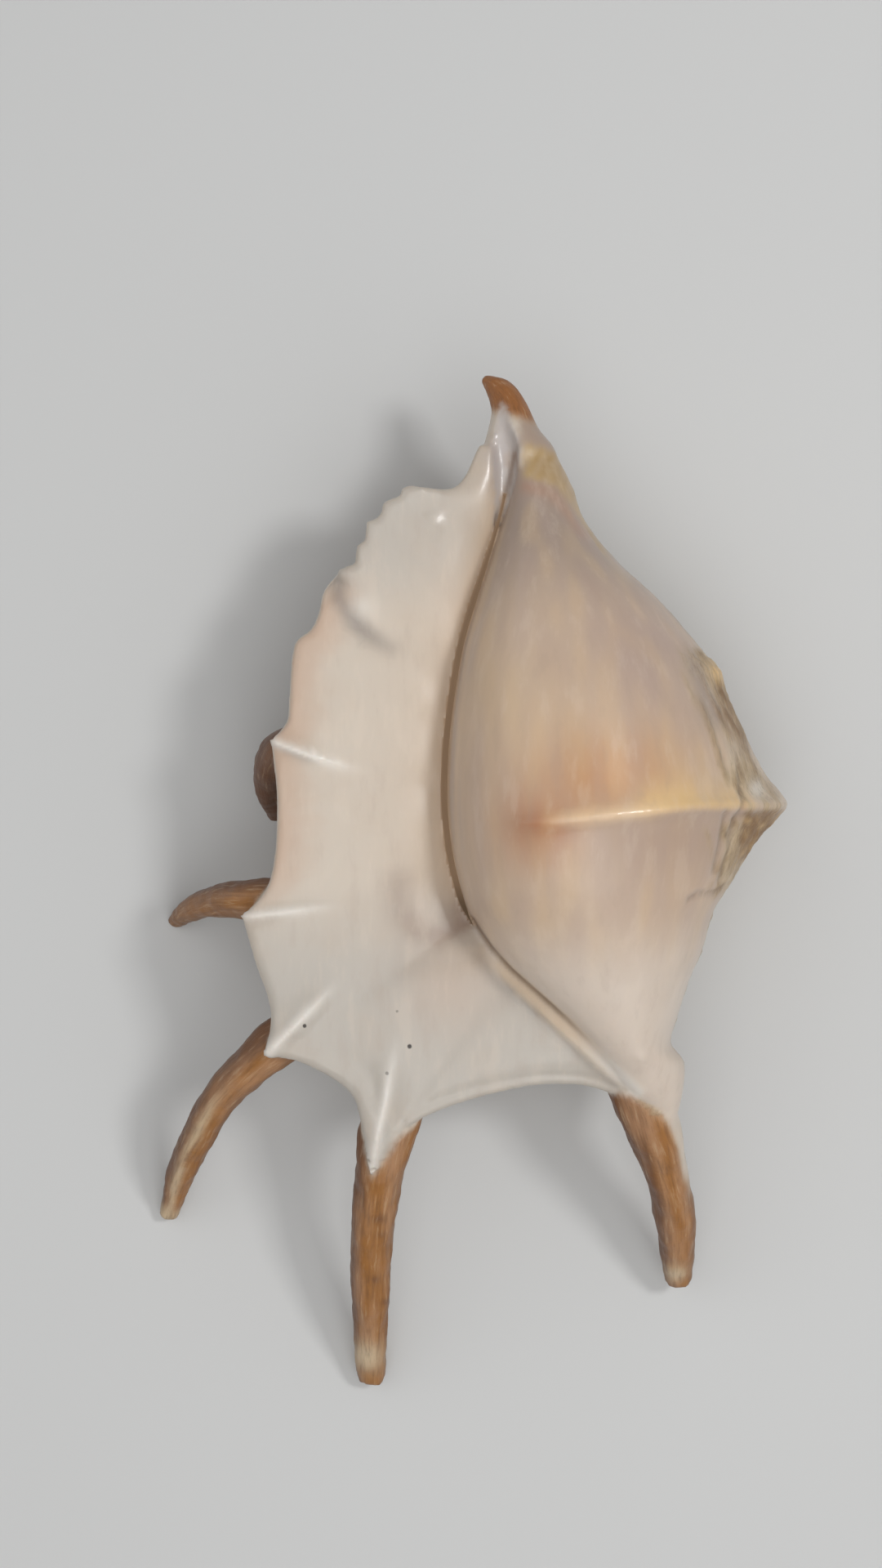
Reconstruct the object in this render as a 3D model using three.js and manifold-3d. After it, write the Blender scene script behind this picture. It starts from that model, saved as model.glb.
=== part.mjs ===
// A spider conch shell, lying with its aperture up as it rests on a table.
// Millimetres, +Z up. +Y runs towards the siphonal canal, -Y towards the spire, and -X towards the flared
// outer lip. The shell grew as one piece, so it is one solid: body whorl and spire, flared lip, six digits,
// siphonal canal, and the hollow that opens along the aperture.
import * as THREE from "three";
import { LoftGeometry } from "three/addons/geometries/LoftGeometry.js";
import { mergeVertices } from "three/addons/utils/BufferGeometryUtils.js";
import Module from "manifold-3d";

const wasm = await Module();
wasm.setup();

// Driving dimensions
const lipEdge = 2.8; // thickness of the outer lip at its margin
const lipOverlap = 2; // how far the lip's back runs into the body whorl at its hidden spine
const lipLevel = 32.5; // height of the lip's face, from which the margin rises and falls
const lipCrown = 2.2; // rise of the lip's face between the aperture and the margin
const troughDepth = 2; // how far the lip's face dips beside the aperture
const troughWidth = 7;
const slotDepth = 4.6; // how steeply the face then falls into the aperture's slot, and how wide the slot is
const slotWidth = 1.4;
const pocket = { x: -0.5, y: -19.5, depth: 3, spread: 5.2 }; // rounded posterior end of the aperture
const keelHeight = 2.6; // ridge that runs from the shoulder knob over the body whorl
const foldHeight = 2.4; // ridges on the lip's face that lead out to the digits
const foldWidth = 3.6;
const keelReach = 8.5; // how far the shoulder knob stands out at the side
const slotHalf = 1.3; // half the height of the aperture's mouth
const bodySides = 36;
const bodySteps = 36;
const lipFacePoints = 13;
const lipBackPoints = 8;
const digitSides = 12;
const digitStep = 5.4; // spacing of the sections along a digit

const { lerp, smoothstep } = THREE.MathUtils;
const point = (x, y, z) => new THREE.Vector3(x, y, z);
const bell = (distance, width) => Math.exp(-((distance / width) ** 2));
const crease = (distance, width, soft) => Math.exp(-(Math.hypot(distance, soft) - soft) / width);

// Stations of the body whorl and spire, from the posterior end to the canal. left and right are the widest
// points, edge and side their heights, crown and top the highest point, belly the lowest height.
const bodyStations = [
  { y: -56, left: 34.5, right: 40.2, edge: 28.6, side: 28, crown: 37.5, top: 32.5, belly: 24.5 },
  { y: -52, left: 31.5, right: 41.2, edge: 30, side: 28, crown: 36, top: 35, belly: 21.5 },
  { y: -47.5, left: 28, right: 41, edge: 32, side: 28, crown: 35, top: 38, belly: 19.5 },
  { y: -44, left: 25.2, right: 39.6, edge: 33, side: 28, crown: 33.5, top: 40, belly: 17.8 },
  { y: -39, left: 20.2, right: 40.4, edge: 33.5, side: 27.5, crown: 32.5, top: 42.6, belly: 15.6 },
  { y: -33.5, left: 14.2, right: 42.2, edge: 34, side: 27, crown: 31.5, top: 45, belly: 13 },
  { y: -28, left: 8.8, right: 44.6, edge: 33.6, side: 26, crown: 30.5, top: 47.5, belly: 10 },
  { y: -22, left: 4.9, right: 46.4, edge: 33, side: 24.5, crown: 29.5, top: 50, belly: 6.6 },
  { y: -15.5, left: 2.8, right: 50.2, edge: 32.6, side: 23, crown: 29, top: 52.2, belly: 5 },
  { y: -9, left: 1.6, right: 52.6, edge: 32.2, side: 22, crown: 28.5, top: 53.6, belly: 3.4 },
  { y: -2, left: 1.1, right: 53.6, edge: 32, side: 21.5, crown: 28, top: 54.2, belly: 2.6 },
  { y: 7, left: 1.4, right: 52.4, edge: 31.8, side: 22, crown: 27, top: 53.4, belly: 2.2 },
  { y: 16, left: 2.5, right: 48.6, edge: 31.8, side: 23, crown: 25, top: 51.4, belly: 3 },
  { y: 24, left: 4, right: 43.6, edge: 31.6, side: 24, crown: 23, top: 48.6, belly: 6 },
  { y: 31.5, left: 5.7, right: 37.2, edge: 31.4, side: 25, crown: 20.5, top: 45.4, belly: 9.4 },
  { y: 38, left: 7.5, right: 30, edge: 31.2, side: 26, crown: 18.6, top: 42.2, belly: 13.6 },
  { y: 45, left: 9.6, right: 24.4, edge: 31, side: 27, crown: 17, top: 38.8, belly: 18 },
  { y: 50.5, left: 10.9, right: 22.3, edge: 31, side: 28, crown: 16.6, top: 36.4, belly: 21.4 },
  { y: 55.5, left: 11.8, right: 19.8, edge: 31, side: 28.6, crown: 16, top: 34, belly: 24.4 },
  { y: 59, left: 12.4, right: 17.4, edge: 30.8, side: 29, crown: 15, top: 32.4, belly: 26 },
];
const bodyKeys = ["left", "right", "edge", "side", "crown", "top", "belly"];
const bodyEnds = [bodyStations[0].y, bodyStations.at(-1).y];

// Knobs and steps of the outer surface: angle round the body from +X towards +Z in degrees, place along Y,
// how far they stand out, and their spread round and along.
const knobs = [
  { angle: -8, y: -3.6, out: keelReach, round: 20, along: 6 }, // shoulder knob at the side
  { angle: -66, y: 1, out: 3.4, round: 20, along: 7 }, // two blunt dorsal knobs that the shell lies on
  { angle: -112, y: 10, out: 4.4, round: 18, along: 7 },
  { angle: 4, y: 19.4, out: 1.5, round: 22, along: 2.4 },
  { angle: -40, y: 22, out: 1.4, round: 26, along: 4 },
];
const whorlSteps = [-19, -29, -37, -42.5]; // the spire's sutures, by their place along Y
const stepDepth = 1.1;

const bodyProfile = new THREE.CubicInterpolant(
  Float32Array.from(bodyStations, (s) => s.y),
  Float32Array.from(bodyStations.flatMap((s) => bodyKeys.map((key) => s[key]))),
  bodyKeys.length,
);

// The measures of the body whorl at a place along Y.
function bodyAt(y) {
  const values = bodyProfile.evaluate(THREE.MathUtils.clamp(y, ...bodyEnds));
  return Object.fromEntries(bodyKeys.map((key, i) => [key, values[i]]));
}

// Height of the body whorl's lower surface at a place.
function underside(x, y) {
  const body = bodyAt(y);
  const middle = lerp(body.edge, body.side, (body.crown - body.left) / (body.right - body.left));
  const reach = x < body.crown ? body.crown - body.left : body.right - body.crown;
  const out = Math.min(1, Math.abs(x - body.crown) / reach);
  return middle - (middle - body.belly) * Math.sqrt(1 - out ** 2);
}

function degreesBetween(a, b) {
  return ((((a - b) % 360) + 540) % 360) - 180;
}

// Height of the keel at a point of the ventral face: its line bends back a little as it fades out.
function keelRise(x, y) {
  const line = -3.7 - 0.1 * Math.max(0, 41 - x);
  return keelHeight * smoothstep(x, 16, 46) * crease(y - line, 2.8, 0.5);
}

// How far the outer surface stands out from the plain whorl at an angle and a place along Y.
function bodyRelief(angle, x, y) {
  let out = smoothstep(Math.sin(THREE.MathUtils.degToRad(angle)), -0.1, 0.3) * keelRise(x, y);
  for (const knob of knobs) {
    const round = degreesBetween(angle, knob.angle) / knob.round;
    const along = Math.abs(y - knob.y) / knob.along;
    out += knob.out * Math.exp(-(round ** 2) - along ** 1.4);
  }
  const outside = smoothstep(Math.cos(THREE.MathUtils.degToRad(angle + 82)), 0.3, 0.85);
  for (const step of whorlSteps) out -= stepDepth * outside * bell(y - step, 1.5);
  return out;
}

// One closed section of the body whorl at a place along Y.
function bodySection(y) {
  const body = bodyAt(y);
  const heightAt = (x) => lerp(body.edge, body.side, (x - body.left) / (body.right - body.left));
  const middle = heightAt(body.crown);
  return Array.from({ length: bodySides }, (_, i) => {
    const angle = (2 * Math.PI * i) / bodySides;
    const reach = Math.cos(angle) > 0 ? body.right - body.crown : body.crown - body.left;
    const rise = Math.sin(angle) > 0 ? body.top - middle : middle - body.belly;
    const x = body.crown + reach * Math.cos(angle);
    const z = heightAt(x) + rise * Math.sin(angle);
    const relief = bodyRelief(THREE.MathUtils.radToDeg(angle), x, y);
    return point(x + relief * Math.cos(angle), y, z + relief * Math.sin(angle));
  });
}

// The lip's margin runs in stretches between the digits, each with its own few points. spine is where the
// lip's face starts, hidden under the body whorl, at the two ends of the stretch.
const lipStretches = [
  {
    steps: 16,
    spine: [point(13, 55, 30), point(10, 8, 30)],
    margin: [
      point(6.6, 57.4, 33.5),
      point(2.4, 50, 34.5),
      point(-5.8, 49.6, 36),
      point(-12, 43.6, 36),
      point(-14.8, 37.4, 35.2),
      point(-18.2, 34.6, 33.6),
    ],
  },
  {
    steps: 11,
    spine: [point(10, 8, 30), point(10, -4, 30)],
    margin: [
      point(-18.2, 34.6, 33.6),
      point(-19.8, 32.4, 34.4),
      point(-20.6, 28.8, 34.9),
      point(-21.9, 26, 35.2),
      point(-24.4, 24, 35.3),
      point(-25.2, 20, 35.4),
      point(-25.6, 13.4, 35.2),
      point(-26, 10.4, 34.6),
      point(-28.6, 7.3, 33.4),
    ],
  },
  {
    steps: 8,
    spine: [point(10, -4, 30), point(11, -13, 30)],
    margin: [
      point(-28.6, 7.3, 33.4),
      point(-27.6, -4.5, 35),
      point(-29, -16.5, 34),
      point(-33.6, -22.4, 32),
    ],
  },
  {
    steps: 7,
    spine: [point(11, -13, 30), point(13, -18, 30)],
    margin: [
      point(-33.6, -22.4, 32),
      point(-31.4, -30, 33.4),
      point(-28.8, -38.2, 33),
      point(-29.6, -45.6, 31.4),
    ],
  },
  {
    steps: 9,
    spine: [point(13, -18, 30), point(16, -23, 31)],
    margin: [
      point(-29.6, -45.6, 31.4),
      point(-23.2, -47.2, 32.6),
      point(-15.4, -52.2, 32.2),
      point(-13.4, -58.6, 31),
      point(-11.9, -66.2, 28.4),
    ],
  },
  {
    steps: 11,
    spine: [point(16, -23, 31), point(36, -44, 31)],
    margin: [
      point(-11.9, -66.2, 28.4),
      point(-9, -60.4, 30.8),
      point(-3.6, -56.6, 31.6),
      point(6.6, -52.8, 32),
      point(18, -50.6, 32),
      point(27.6, -51.8, 31.4),
      point(36.4, -57.6, 29.6),
    ],
  },
];
const denticles = { from: 0.42, to: 0.98, count: 4, size: 0.55 }; // teeth along the first stretch

// Folds on the lip's face, each from where it fades out to the digit that it leads to.
const folds = [
  { from: point(-11, 25, 0), to: point(-18.2, 34.6, 0), height: 0.7 },
  { from: point(-10.5, 0.5, 0), to: point(-28.6, 7.3, 0), height: 0.9 },
  { from: point(-14, -19.8, 0), to: point(-33.6, -22.4, 0), height: 0.9 },
  { from: point(-15, -31, 0), to: point(-29.6, -45.6, 0), height: 1.1 },
  { from: point(-6.5, -38, 0), to: point(-11.9, -66, 0), height: 1.1 },
];

// Height that the folds add at a point of the lip's face: sharp crests with hollows between them.
function foldRise(x, y) {
  return folds.reduce((sum, fold) => {
    const run = fold.to.clone().sub(fold.from);
    const reach = point(x, y, 0).sub(fold.from);
    const along = reach.dot(run) / run.lengthSq();
    const across = reach.clone().addScaledVector(run, -along).length();
    const grown = smoothstep(along, -0.1, 0.9) * fold.height * foldHeight;
    return sum + grown * crease(across, foldWidth, 1.3);
  }, 0);
}

// How far the lip's face dips beside the aperture at a point.
function troughDip(x, y) {
  const open = smoothstep(y, -28, -20) * lerp(1, 0.5, smoothstep(y, 40, 55));
  const end = pocket.depth * bell(Math.hypot((x - pocket.x) * 0.8, y - pocket.y), pocket.spread);
  return end + open * troughDepth * bell(Math.max(0, bodyAt(y).left - x), troughWidth);
}

// How far it falls into the slot, beside the body whorl's edge.
function slotDip(x, y) {
  const gap = bodyAt(y).left - x;
  const open = smoothstep(y, -27, -22) * (1 - smoothstep(y, 40, 50));
  return slotDepth * open * (1 - smoothstep(gap, 0.3, slotWidth)) * smoothstep(gap, -9, -4);
}

// The share of the way from the spine to the margin at which the body whorl's edge is passed by a gap.
function reachPast(gap, spine, margin) {
  let [low, high] = [0, 1];
  for (let i = 0; i < 20; i++) {
    const w = (low + high) / 2;
    const at = spine.clone().lerp(margin, w);
    if (bodyAt(at.y).left - at.x < gap) low = w;
    else high = w;
  }
  return low;
}

// One closed section of the lip between its hidden spine and a point of its margin: face, edge, back.
function lipSection(spine, margin) {
  const sheet = (w) => {
    const at = spine.clone().lerp(margin, w);
    at.z = lerp(spine.z, lipLevel, w) + (margin.z - lipLevel) * w ** 2.4;
    at.z += lipCrown * Math.sin(Math.PI * w) - troughDip(at.x, at.y);
    return at;
  };
  const face = (w) => {
    const at = sheet(w);
    at.z += foldRise(at.x, at.y) - slotDip(at.x, at.y);
    return at;
  };
  const slot = Math.min(0.34, reachPast(0.2, spine, margin));
  const beside = Math.min(0.4, Math.max(slot + 0.02, reachPast(slotWidth, spine, margin)));
  const plain = lipFacePoints - 4;
  const open = Array.from({ length: plain }, (_, i) => lerp(beside, 0.985, ((i + 1) / plain) ** 0.9));
  const edge = face(1);
  edge.z -= lipEdge / 2;
  const root = Math.max(0.6, sheet(0).z - lipEdge - underside(spine.x, spine.y) - lipOverlap);
  const back = Array.from({ length: lipBackPoints }, (_, i) => {
    const w = 0.985 * (1 - i / (lipBackPoints - 1));
    const at = sheet(w);
    at.z -= lipEdge + root * (1 - w) ** 2.2 - 0.4 * foldRise(at.x, at.y) * w;
    return at;
  });
  return [...[0, slot * 0.55, slot, beside, ...open].map(face), edge, ...back];
}

function lipSections() {
  const sections = [];
  for (const [index, stretch] of lipStretches.entries()) {
    const margin = new THREE.CatmullRomCurve3(stretch.margin, false, "centripetal");
    const first = index === 0 ? 0 : 1;
    for (let i = first; i <= stretch.steps; i++) {
      const share = i / stretch.steps;
      const at = margin.getPointAt(share);
      if (index === 0 && share > denticles.from && share < denticles.to) {
        const turn = (share - denticles.from) / (denticles.to - denticles.from);
        const wave = Math.sin(2 * Math.PI * denticles.count * turn);
        at.addScaledVector(point(-1, 1, 0), denticles.size * wave);
      }
      sections.push(lipSection(stretch.spine[0].clone().lerp(stretch.spine[1], share), at));
    }
  }
  return sections;
}

// The digits, from a root buried in the lip to the tip: centre line, and half width at each of its points.
// flat is height over width at the root, and the section grows round towards the tip.
const digits = [
  {
    path: [
      point(31, -41, 30),
      point(33.6, -50, 29),
      point(36, -58, 26.6),
      point(38.6, -66, 22),
      point(40.9, -74.8, 15.6),
      point(41.8, -82.6, 9.8),
      point(42.3, -88.6, 5),
    ],
    half: [5, 5.4, 4.9, 3.9, 3.6, 3.1, 2.3],
    flat: 0.8,
  },
  {
    path: [
      point(7, -35, 24.6),
      point(0.6, -42.6, 28.2),
      point(-5, -50, 28.8),
      point(-9, -59, 27.6),
      point(-11.2, -70.5, 23.6),
      point(-12.1, -81.4, 17.6),
      point(-12.4, -94, 10.4),
      point(-12.6, -106.4, 2.2),
    ],
    half: [1.4, 2.4, 4.3, 5, 4, 3.6, 3.2, 2.5],
    flat: 0.7,
  },
  {
    path: [
      point(-2, -27, 25.6),
      point(-10.4, -32.6, 29),
      point(-18.4, -37.4, 29.4),
      point(-25.6, -42.6, 28.6),
      point(-31.6, -47.4, 26),
      point(-38.4, -54.4, 20.6),
      point(-43.2, -62.8, 14),
      point(-46.6, -70.4, 7.4),
      point(-48.9, -77.4, 1.7),
    ],
    half: [1.3, 1.9, 2.8, 4.3, 3.8, 3.2, 2.9, 2.4, 1.7],
    flat: 0.7,
  },
  {
    path: [
      point(-4, -16.4, 24.4),
      point(-12, -17.8, 29.2),
      point(-20, -18.8, 30.6),
      point(-27, -19.6, 29.8),
      point(-32.8, -19.9, 26),
      point(-39, -20.4, 18.6),
      point(-44, -22, 10.6),
      point(-48, -24.8, 0.2),
    ],
    half: [1.3, 1.8, 2.7, 3.9, 3.5, 2.8, 2.2, 1.3],
    flat: 0.75,
  },
  {
    path: [
      point(-3, -0.8, 22.8),
      point(-10, 2, 28.4),
      point(-17, 4.4, 31),
      point(-22.4, 6.2, 30.4),
      point(-26.8, 6.1, 27),
      point(-29.7, 2.6, 19.6),
      point(-30.4, -1.8, 11),
      point(-29.6, -5.6, 2.6),
    ],
    half: [1.3, 1.8, 2.6, 3.8, 3.4, 2.8, 2.2, 1.4],
    flat: 0.75,
  },
  {
    path: [
      point(-0.4, 17, 23.4),
      point(-5.8, 22.4, 29),
      point(-10.8, 27.4, 31.2),
      point(-14.4, 31, 31),
      point(-17, 32, 26.8),
      point(-18.2, 28.6, 18.6),
      point(-18, 24.4, 10.6),
      point(-17.2, 21.4, 5.6),
    ],
    half: [1.2, 1.6, 2.4, 3.4, 3, 2.5, 1.9, 1.2],
    flat: 0.75,
  },
];
const canal = {
  path: [
    point(14.6, 46, 28.8),
    point(13.4, 54, 29.6),
    point(12.4, 58, 29.9),
    point(11.9, 61.4, 29.9),
    point(11.4, 64.2, 29.4),
    point(9.8, 67, 28.4),
    point(7.3, 69.3, 27.2),
  ],
  half: [6, 6.6, 5.2, 3.8, 3, 2.3, 0.8],
  flat: 0.72,
};
const canalGroove = {
  path: [
    point(8.8, 42, 29),
    point(9.8, 47, 30.8),
    point(10.5, 52, 32.4),
    point(10.7, 56, 33.2),
    point(10.2, 60, 33.8),
    point(9.4, 64.2, 33.1),
    point(8, 67.4, 31.4),
  ],
  half: [1.1, 1.8, 2.4, 2.6, 2.2, 1.5, 0.7],
  flat: 1,
};
// A smooth cord of enamel along the seam between the lip and the spire.
const seamCord = {
  path: [
    point(4.6, -25.6, 32),
    point(9.2, -30.6, 33.8),
    point(15.2, -37, 34.8),
    point(21.6, -43.2, 34.6),
    point(27.6, -49.4, 33.4),
    point(31, -53, 31.6),
  ],
  half: [0.8, 1.4, 1.6, 1.7, 1.6, 0.9],
  flat: 1,
};

// Sections of a tapering limb along its centre line.
function limbSections(limb, sides, step) {
  const path = new THREE.CatmullRomCurve3(limb.path, false, "centripetal");
  const size = new THREE.CubicInterpolant(
    Float32Array.from(limb.half, (_, i) => i / (limb.half.length - 1)),
    Float32Array.from(limb.half),
    1,
  );
  const count = Math.max(4, Math.round(path.getLength() / step));
  const up = point(0, 0, 1);
  return Array.from({ length: count + 1 }, (_, i) => {
    const t = path.getUtoTmapping(i / count);
    const along = path.getTangent(t);
    const across = along.clone().cross(up).normalize();
    const over = across.clone().cross(along);
    const half = size.evaluate(t)[0];
    const rise = half * lerp(limb.flat, 1, smoothstep(t, 0.2, 0.6));
    return Array.from({ length: sides }, (_, k) => {
      const turn = (2 * Math.PI * k) / sides;
      return path
        .getPoint(t)
        .addScaledVector(across, half * Math.cos(turn))
        .addScaledVector(over, rise * Math.sin(turn));
    });
  });
}

// The hollow behind the aperture: a crescent in each section that curls under the body whorl.
const hollow = {
  from: -23.5,
  to: 51,
  steps: 21,
  sides: 14,
  across: [-0.012, 0.04, 0.16, 0.32, 0.52, 0.72], // shares of the body's width, from its left edge
  down: [0.15, 0.165, 0.26, 0.43, 0.54, 0.56], // shares of the height from the edge to the belly
  thick: [0.8, 1.1, 2.6, 4, 4.2, 2.8], // over the half height of the mouth
};

function hollowSection(y) {
  const body = bodyAt(y);
  const width = body.right - body.left;
  const depth = body.edge - body.belly;
  const narrow = smoothstep(y, hollow.from - 1, hollow.from + 9) * lerp(1, 0.3, smoothstep(y, 26, 48));
  const middle = new THREE.SplineCurve(
    hollow.across.map((share, i) => {
      const tuck = 3.4 * (1 - smoothstep(y, hollow.from, hollow.from + 7));
      return new THREE.Vector2(body.left + share * width + tuck, body.edge - hollow.down[i] * depth);
    }),
  );
  const points = hollow.sides / 2;
  const side = (sign) =>
    Array.from({ length: points }, (_, i) => {
      const t = i / (points - 1);
      const at = middle.getPoint(t);
      const along = middle.getTangent(t);
      const spot = t * (hollow.thick.length - 1);
      const low = Math.min(hollow.thick.length - 2, Math.floor(spot));
      const half = slotHalf * narrow * lerp(hollow.thick[low], hollow.thick[low + 1], spot - low);
      return point(at.x - sign * half * along.y, y, at.y + sign * half * along.x);
    });
  return [...side(1), ...side(-1).reverse()];
}

// Sections whose points run counterclockwise seen from the far end of the row.
function turned(sections) {
  const centre = (ring) => ring.reduce((sum, at) => sum.add(at), point(0, 0, 0)).divideScalar(ring.length);
  const middle = centre(sections[0]);
  const spokes = sections[0].map((at) => at.clone().sub(middle));
  const facing = point(0, 0, 0);
  spokes.forEach((spoke, i) => facing.add(spoke.clone().cross(spokes[(i + 1) % spokes.length])));
  const ahead = centre(sections[1]).sub(middle);
  return facing.dot(ahead) > 0 ? sections : sections.map((ring) => ring.toReversed());
}

// A closed solid from a geometry whose faces meet at shared corners once they are merged.
function solidFrom(shape) {
  const plain = new THREE.BufferGeometry();
  plain.setAttribute("position", shape.attributes.position);
  plain.setIndex(shape.index);
  const merged = mergeVertices(plain, 1e-4);
  const vertProperties = merged.attributes.position.array;
  const triVerts = new Uint32Array(merged.index.array);
  return new wasm.Manifold(new wasm.Mesh({ numProp: 3, vertProperties, triVerts }));
}

const loft = (sections) => solidFrom(new LoftGeometry(turned(sections), { capStart: true, capEnd: true }));

const evenly = (from, to, steps) => Array.from({ length: steps + 1 }, (_, i) => lerp(from, to, i / steps));

function bodyWhorl() {
  return loft(evenly(...bodyEnds, bodySteps).map(bodySection));
}

function shellSolid() {
  let shell = bodyWhorl().add(loft(lipSections()));
  for (const limb of digits) shell = shell.add(loft(limbSections(limb, digitSides, digitStep)));
  shell = shell.add(loft(limbSections(canal, 16, 2.6)));
  shell = shell.add(loft(limbSections(seamCord, 8, 2.6)));
  shell = shell.subtract(loft(evenly(hollow.from, hollow.to, hollow.steps).map(hollowSection)));
  return shell.subtract(loft(limbSections(canalGroove, 10, 2.4)));
}

// The dorsal knobs are worn flat where the shell lies on them.
const restHeight = 0.3;

function wornFlat(solid) {
  const below = new THREE.BoxGeometry(400, 400, 40);
  below.translate(0, 0, restHeight - 20);
  return solid.subtract(solidFrom(below));
}

function meshGeometry(solid) {
  const mesh = solid.getMesh();
  return new THREE.BufferGeometry()
    .setAttribute("position", new THREE.BufferAttribute(mesh.vertProperties, 3))
    .setIndex(new THREE.BufferAttribute(mesh.triVerts, 1));
}

const geometry = meshGeometry(wornFlat(shellSolid()));
geometry.computeVertexNormals();
geometry.computeBoundingBox();
const { min, max } = geometry.boundingBox;
geometry.translate(-(min.x + max.x) / 2, -(min.y + max.y) / 2, -min.z);

const enamel = new THREE.MeshStandardMaterial({ color: 0xe2d5c2, roughness: 0.3, metalness: 0 });
const shell = new THREE.Mesh(geometry, enamel);
shell.name = "shell";

const group = new THREE.Group();
group.add(shell);
export default group;
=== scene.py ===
import bpy
import bmesh
import math
import numpy as np
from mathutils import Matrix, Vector, noise
from mathutils.kdtree import KDTree


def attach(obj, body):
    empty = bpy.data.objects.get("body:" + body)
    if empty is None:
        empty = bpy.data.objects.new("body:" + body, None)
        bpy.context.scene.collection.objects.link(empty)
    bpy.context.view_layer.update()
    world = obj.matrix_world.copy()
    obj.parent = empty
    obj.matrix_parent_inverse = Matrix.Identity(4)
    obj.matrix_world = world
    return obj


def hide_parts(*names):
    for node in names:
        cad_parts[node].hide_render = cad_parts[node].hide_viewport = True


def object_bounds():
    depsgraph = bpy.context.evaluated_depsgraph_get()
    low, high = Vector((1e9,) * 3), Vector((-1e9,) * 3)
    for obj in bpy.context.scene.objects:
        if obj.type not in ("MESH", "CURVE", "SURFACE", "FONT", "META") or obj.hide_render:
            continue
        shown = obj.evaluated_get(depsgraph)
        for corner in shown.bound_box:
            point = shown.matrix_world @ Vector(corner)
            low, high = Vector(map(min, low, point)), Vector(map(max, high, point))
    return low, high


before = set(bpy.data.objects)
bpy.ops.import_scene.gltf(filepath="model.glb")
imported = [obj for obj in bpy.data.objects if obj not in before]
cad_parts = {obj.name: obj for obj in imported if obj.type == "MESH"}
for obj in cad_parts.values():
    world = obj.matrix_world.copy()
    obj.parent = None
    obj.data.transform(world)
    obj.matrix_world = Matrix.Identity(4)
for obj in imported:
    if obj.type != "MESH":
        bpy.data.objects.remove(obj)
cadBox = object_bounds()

# The forms below are worked out in millimetres in the drawing's own frame, and placed in the row's frame
# at the end: +Y to the canal, -X to the lip, +Z up out of the aperture.
placing = {
    "mm": 0.001,
    "shift": Vector((-4.9431, 18.9329, -0.3)),  # from the drawing's zero to the middle of the CAD box
}


# small helpers for numbers

def lerp(a, b, t):
    return a + (b - a) * t


def clamp(value, low=0.0, high=1.0):
    return min(high, max(low, value))


def ease(value, low, high):
    t = clamp((value - low) / (high - low))
    return t * t * (3 - 2 * t)


def bell(distance, width):
    return math.exp(-((distance / width) ** 2))


def crease(distance, width, soft=0.35):
    return math.exp(-(math.hypot(distance, soft) - soft) / width)


def curveThrough(knots, values):
    # smooth curve through values at rising knots, as a function of the knot value
    slopes = []
    for i in range(len(knots)):
        a, b = max(0, i - 1), min(len(knots) - 1, i + 1)
        slopes.append((values[b] - values[a]) * (1 / (knots[b] - knots[a])))

    def at(t):
        t = clamp(t, knots[0], knots[-1])
        i = next((k for k in range(len(knots) - 2) if t < knots[k + 1]), len(knots) - 2)
        span = knots[i + 1] - knots[i]
        s = (t - knots[i]) / span
        a, b = values[i], values[i + 1]
        return (a * (2 * s ** 3 - 3 * s ** 2 + 1) + slopes[i] * (span * (s ** 3 - 2 * s ** 2 + s))
                + b * (3 * s ** 2 - 2 * s ** 3) + slopes[i + 1] * (span * (s ** 3 - s ** 2)))

    return at


pathSteps = 400


def pathThrough(points):
    # the same through points in space, with t from 0 to 1 in equal shares of length
    spots = [Vector(p) for p in points]
    knots = [0.0]
    for a, b in zip(spots, spots[1:]):
        knots.append(knots[-1] + math.sqrt((b - a).length))
    curve = curveThrough(knots, spots)
    fine = [curve(knots[-1] * i / pathSteps) for i in range(pathSteps + 1)]
    lengths = np.cumsum([0.0] + [(b - a).length for a, b in zip(fine, fine[1:])])

    def at(t):
        reach = clamp(t) * lengths[-1]
        i = min(pathSteps - 1, int(np.searchsorted(lengths, reach, side="right")) - 1)
        step = lengths[i + 1] - lengths[i]
        return fine[i].lerp(fine[i + 1], (reach - lengths[i]) / step if step > 0 else 0)

    at.length = lengths[-1]
    turns = [knots[-1] * i / pathSteps for i in range(pathSteps + 1)]
    at.shares = [float(np.interp(k, turns, lengths)) / lengths[-1] for k in knots]
    return at


# Body whorl and spire

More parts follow.
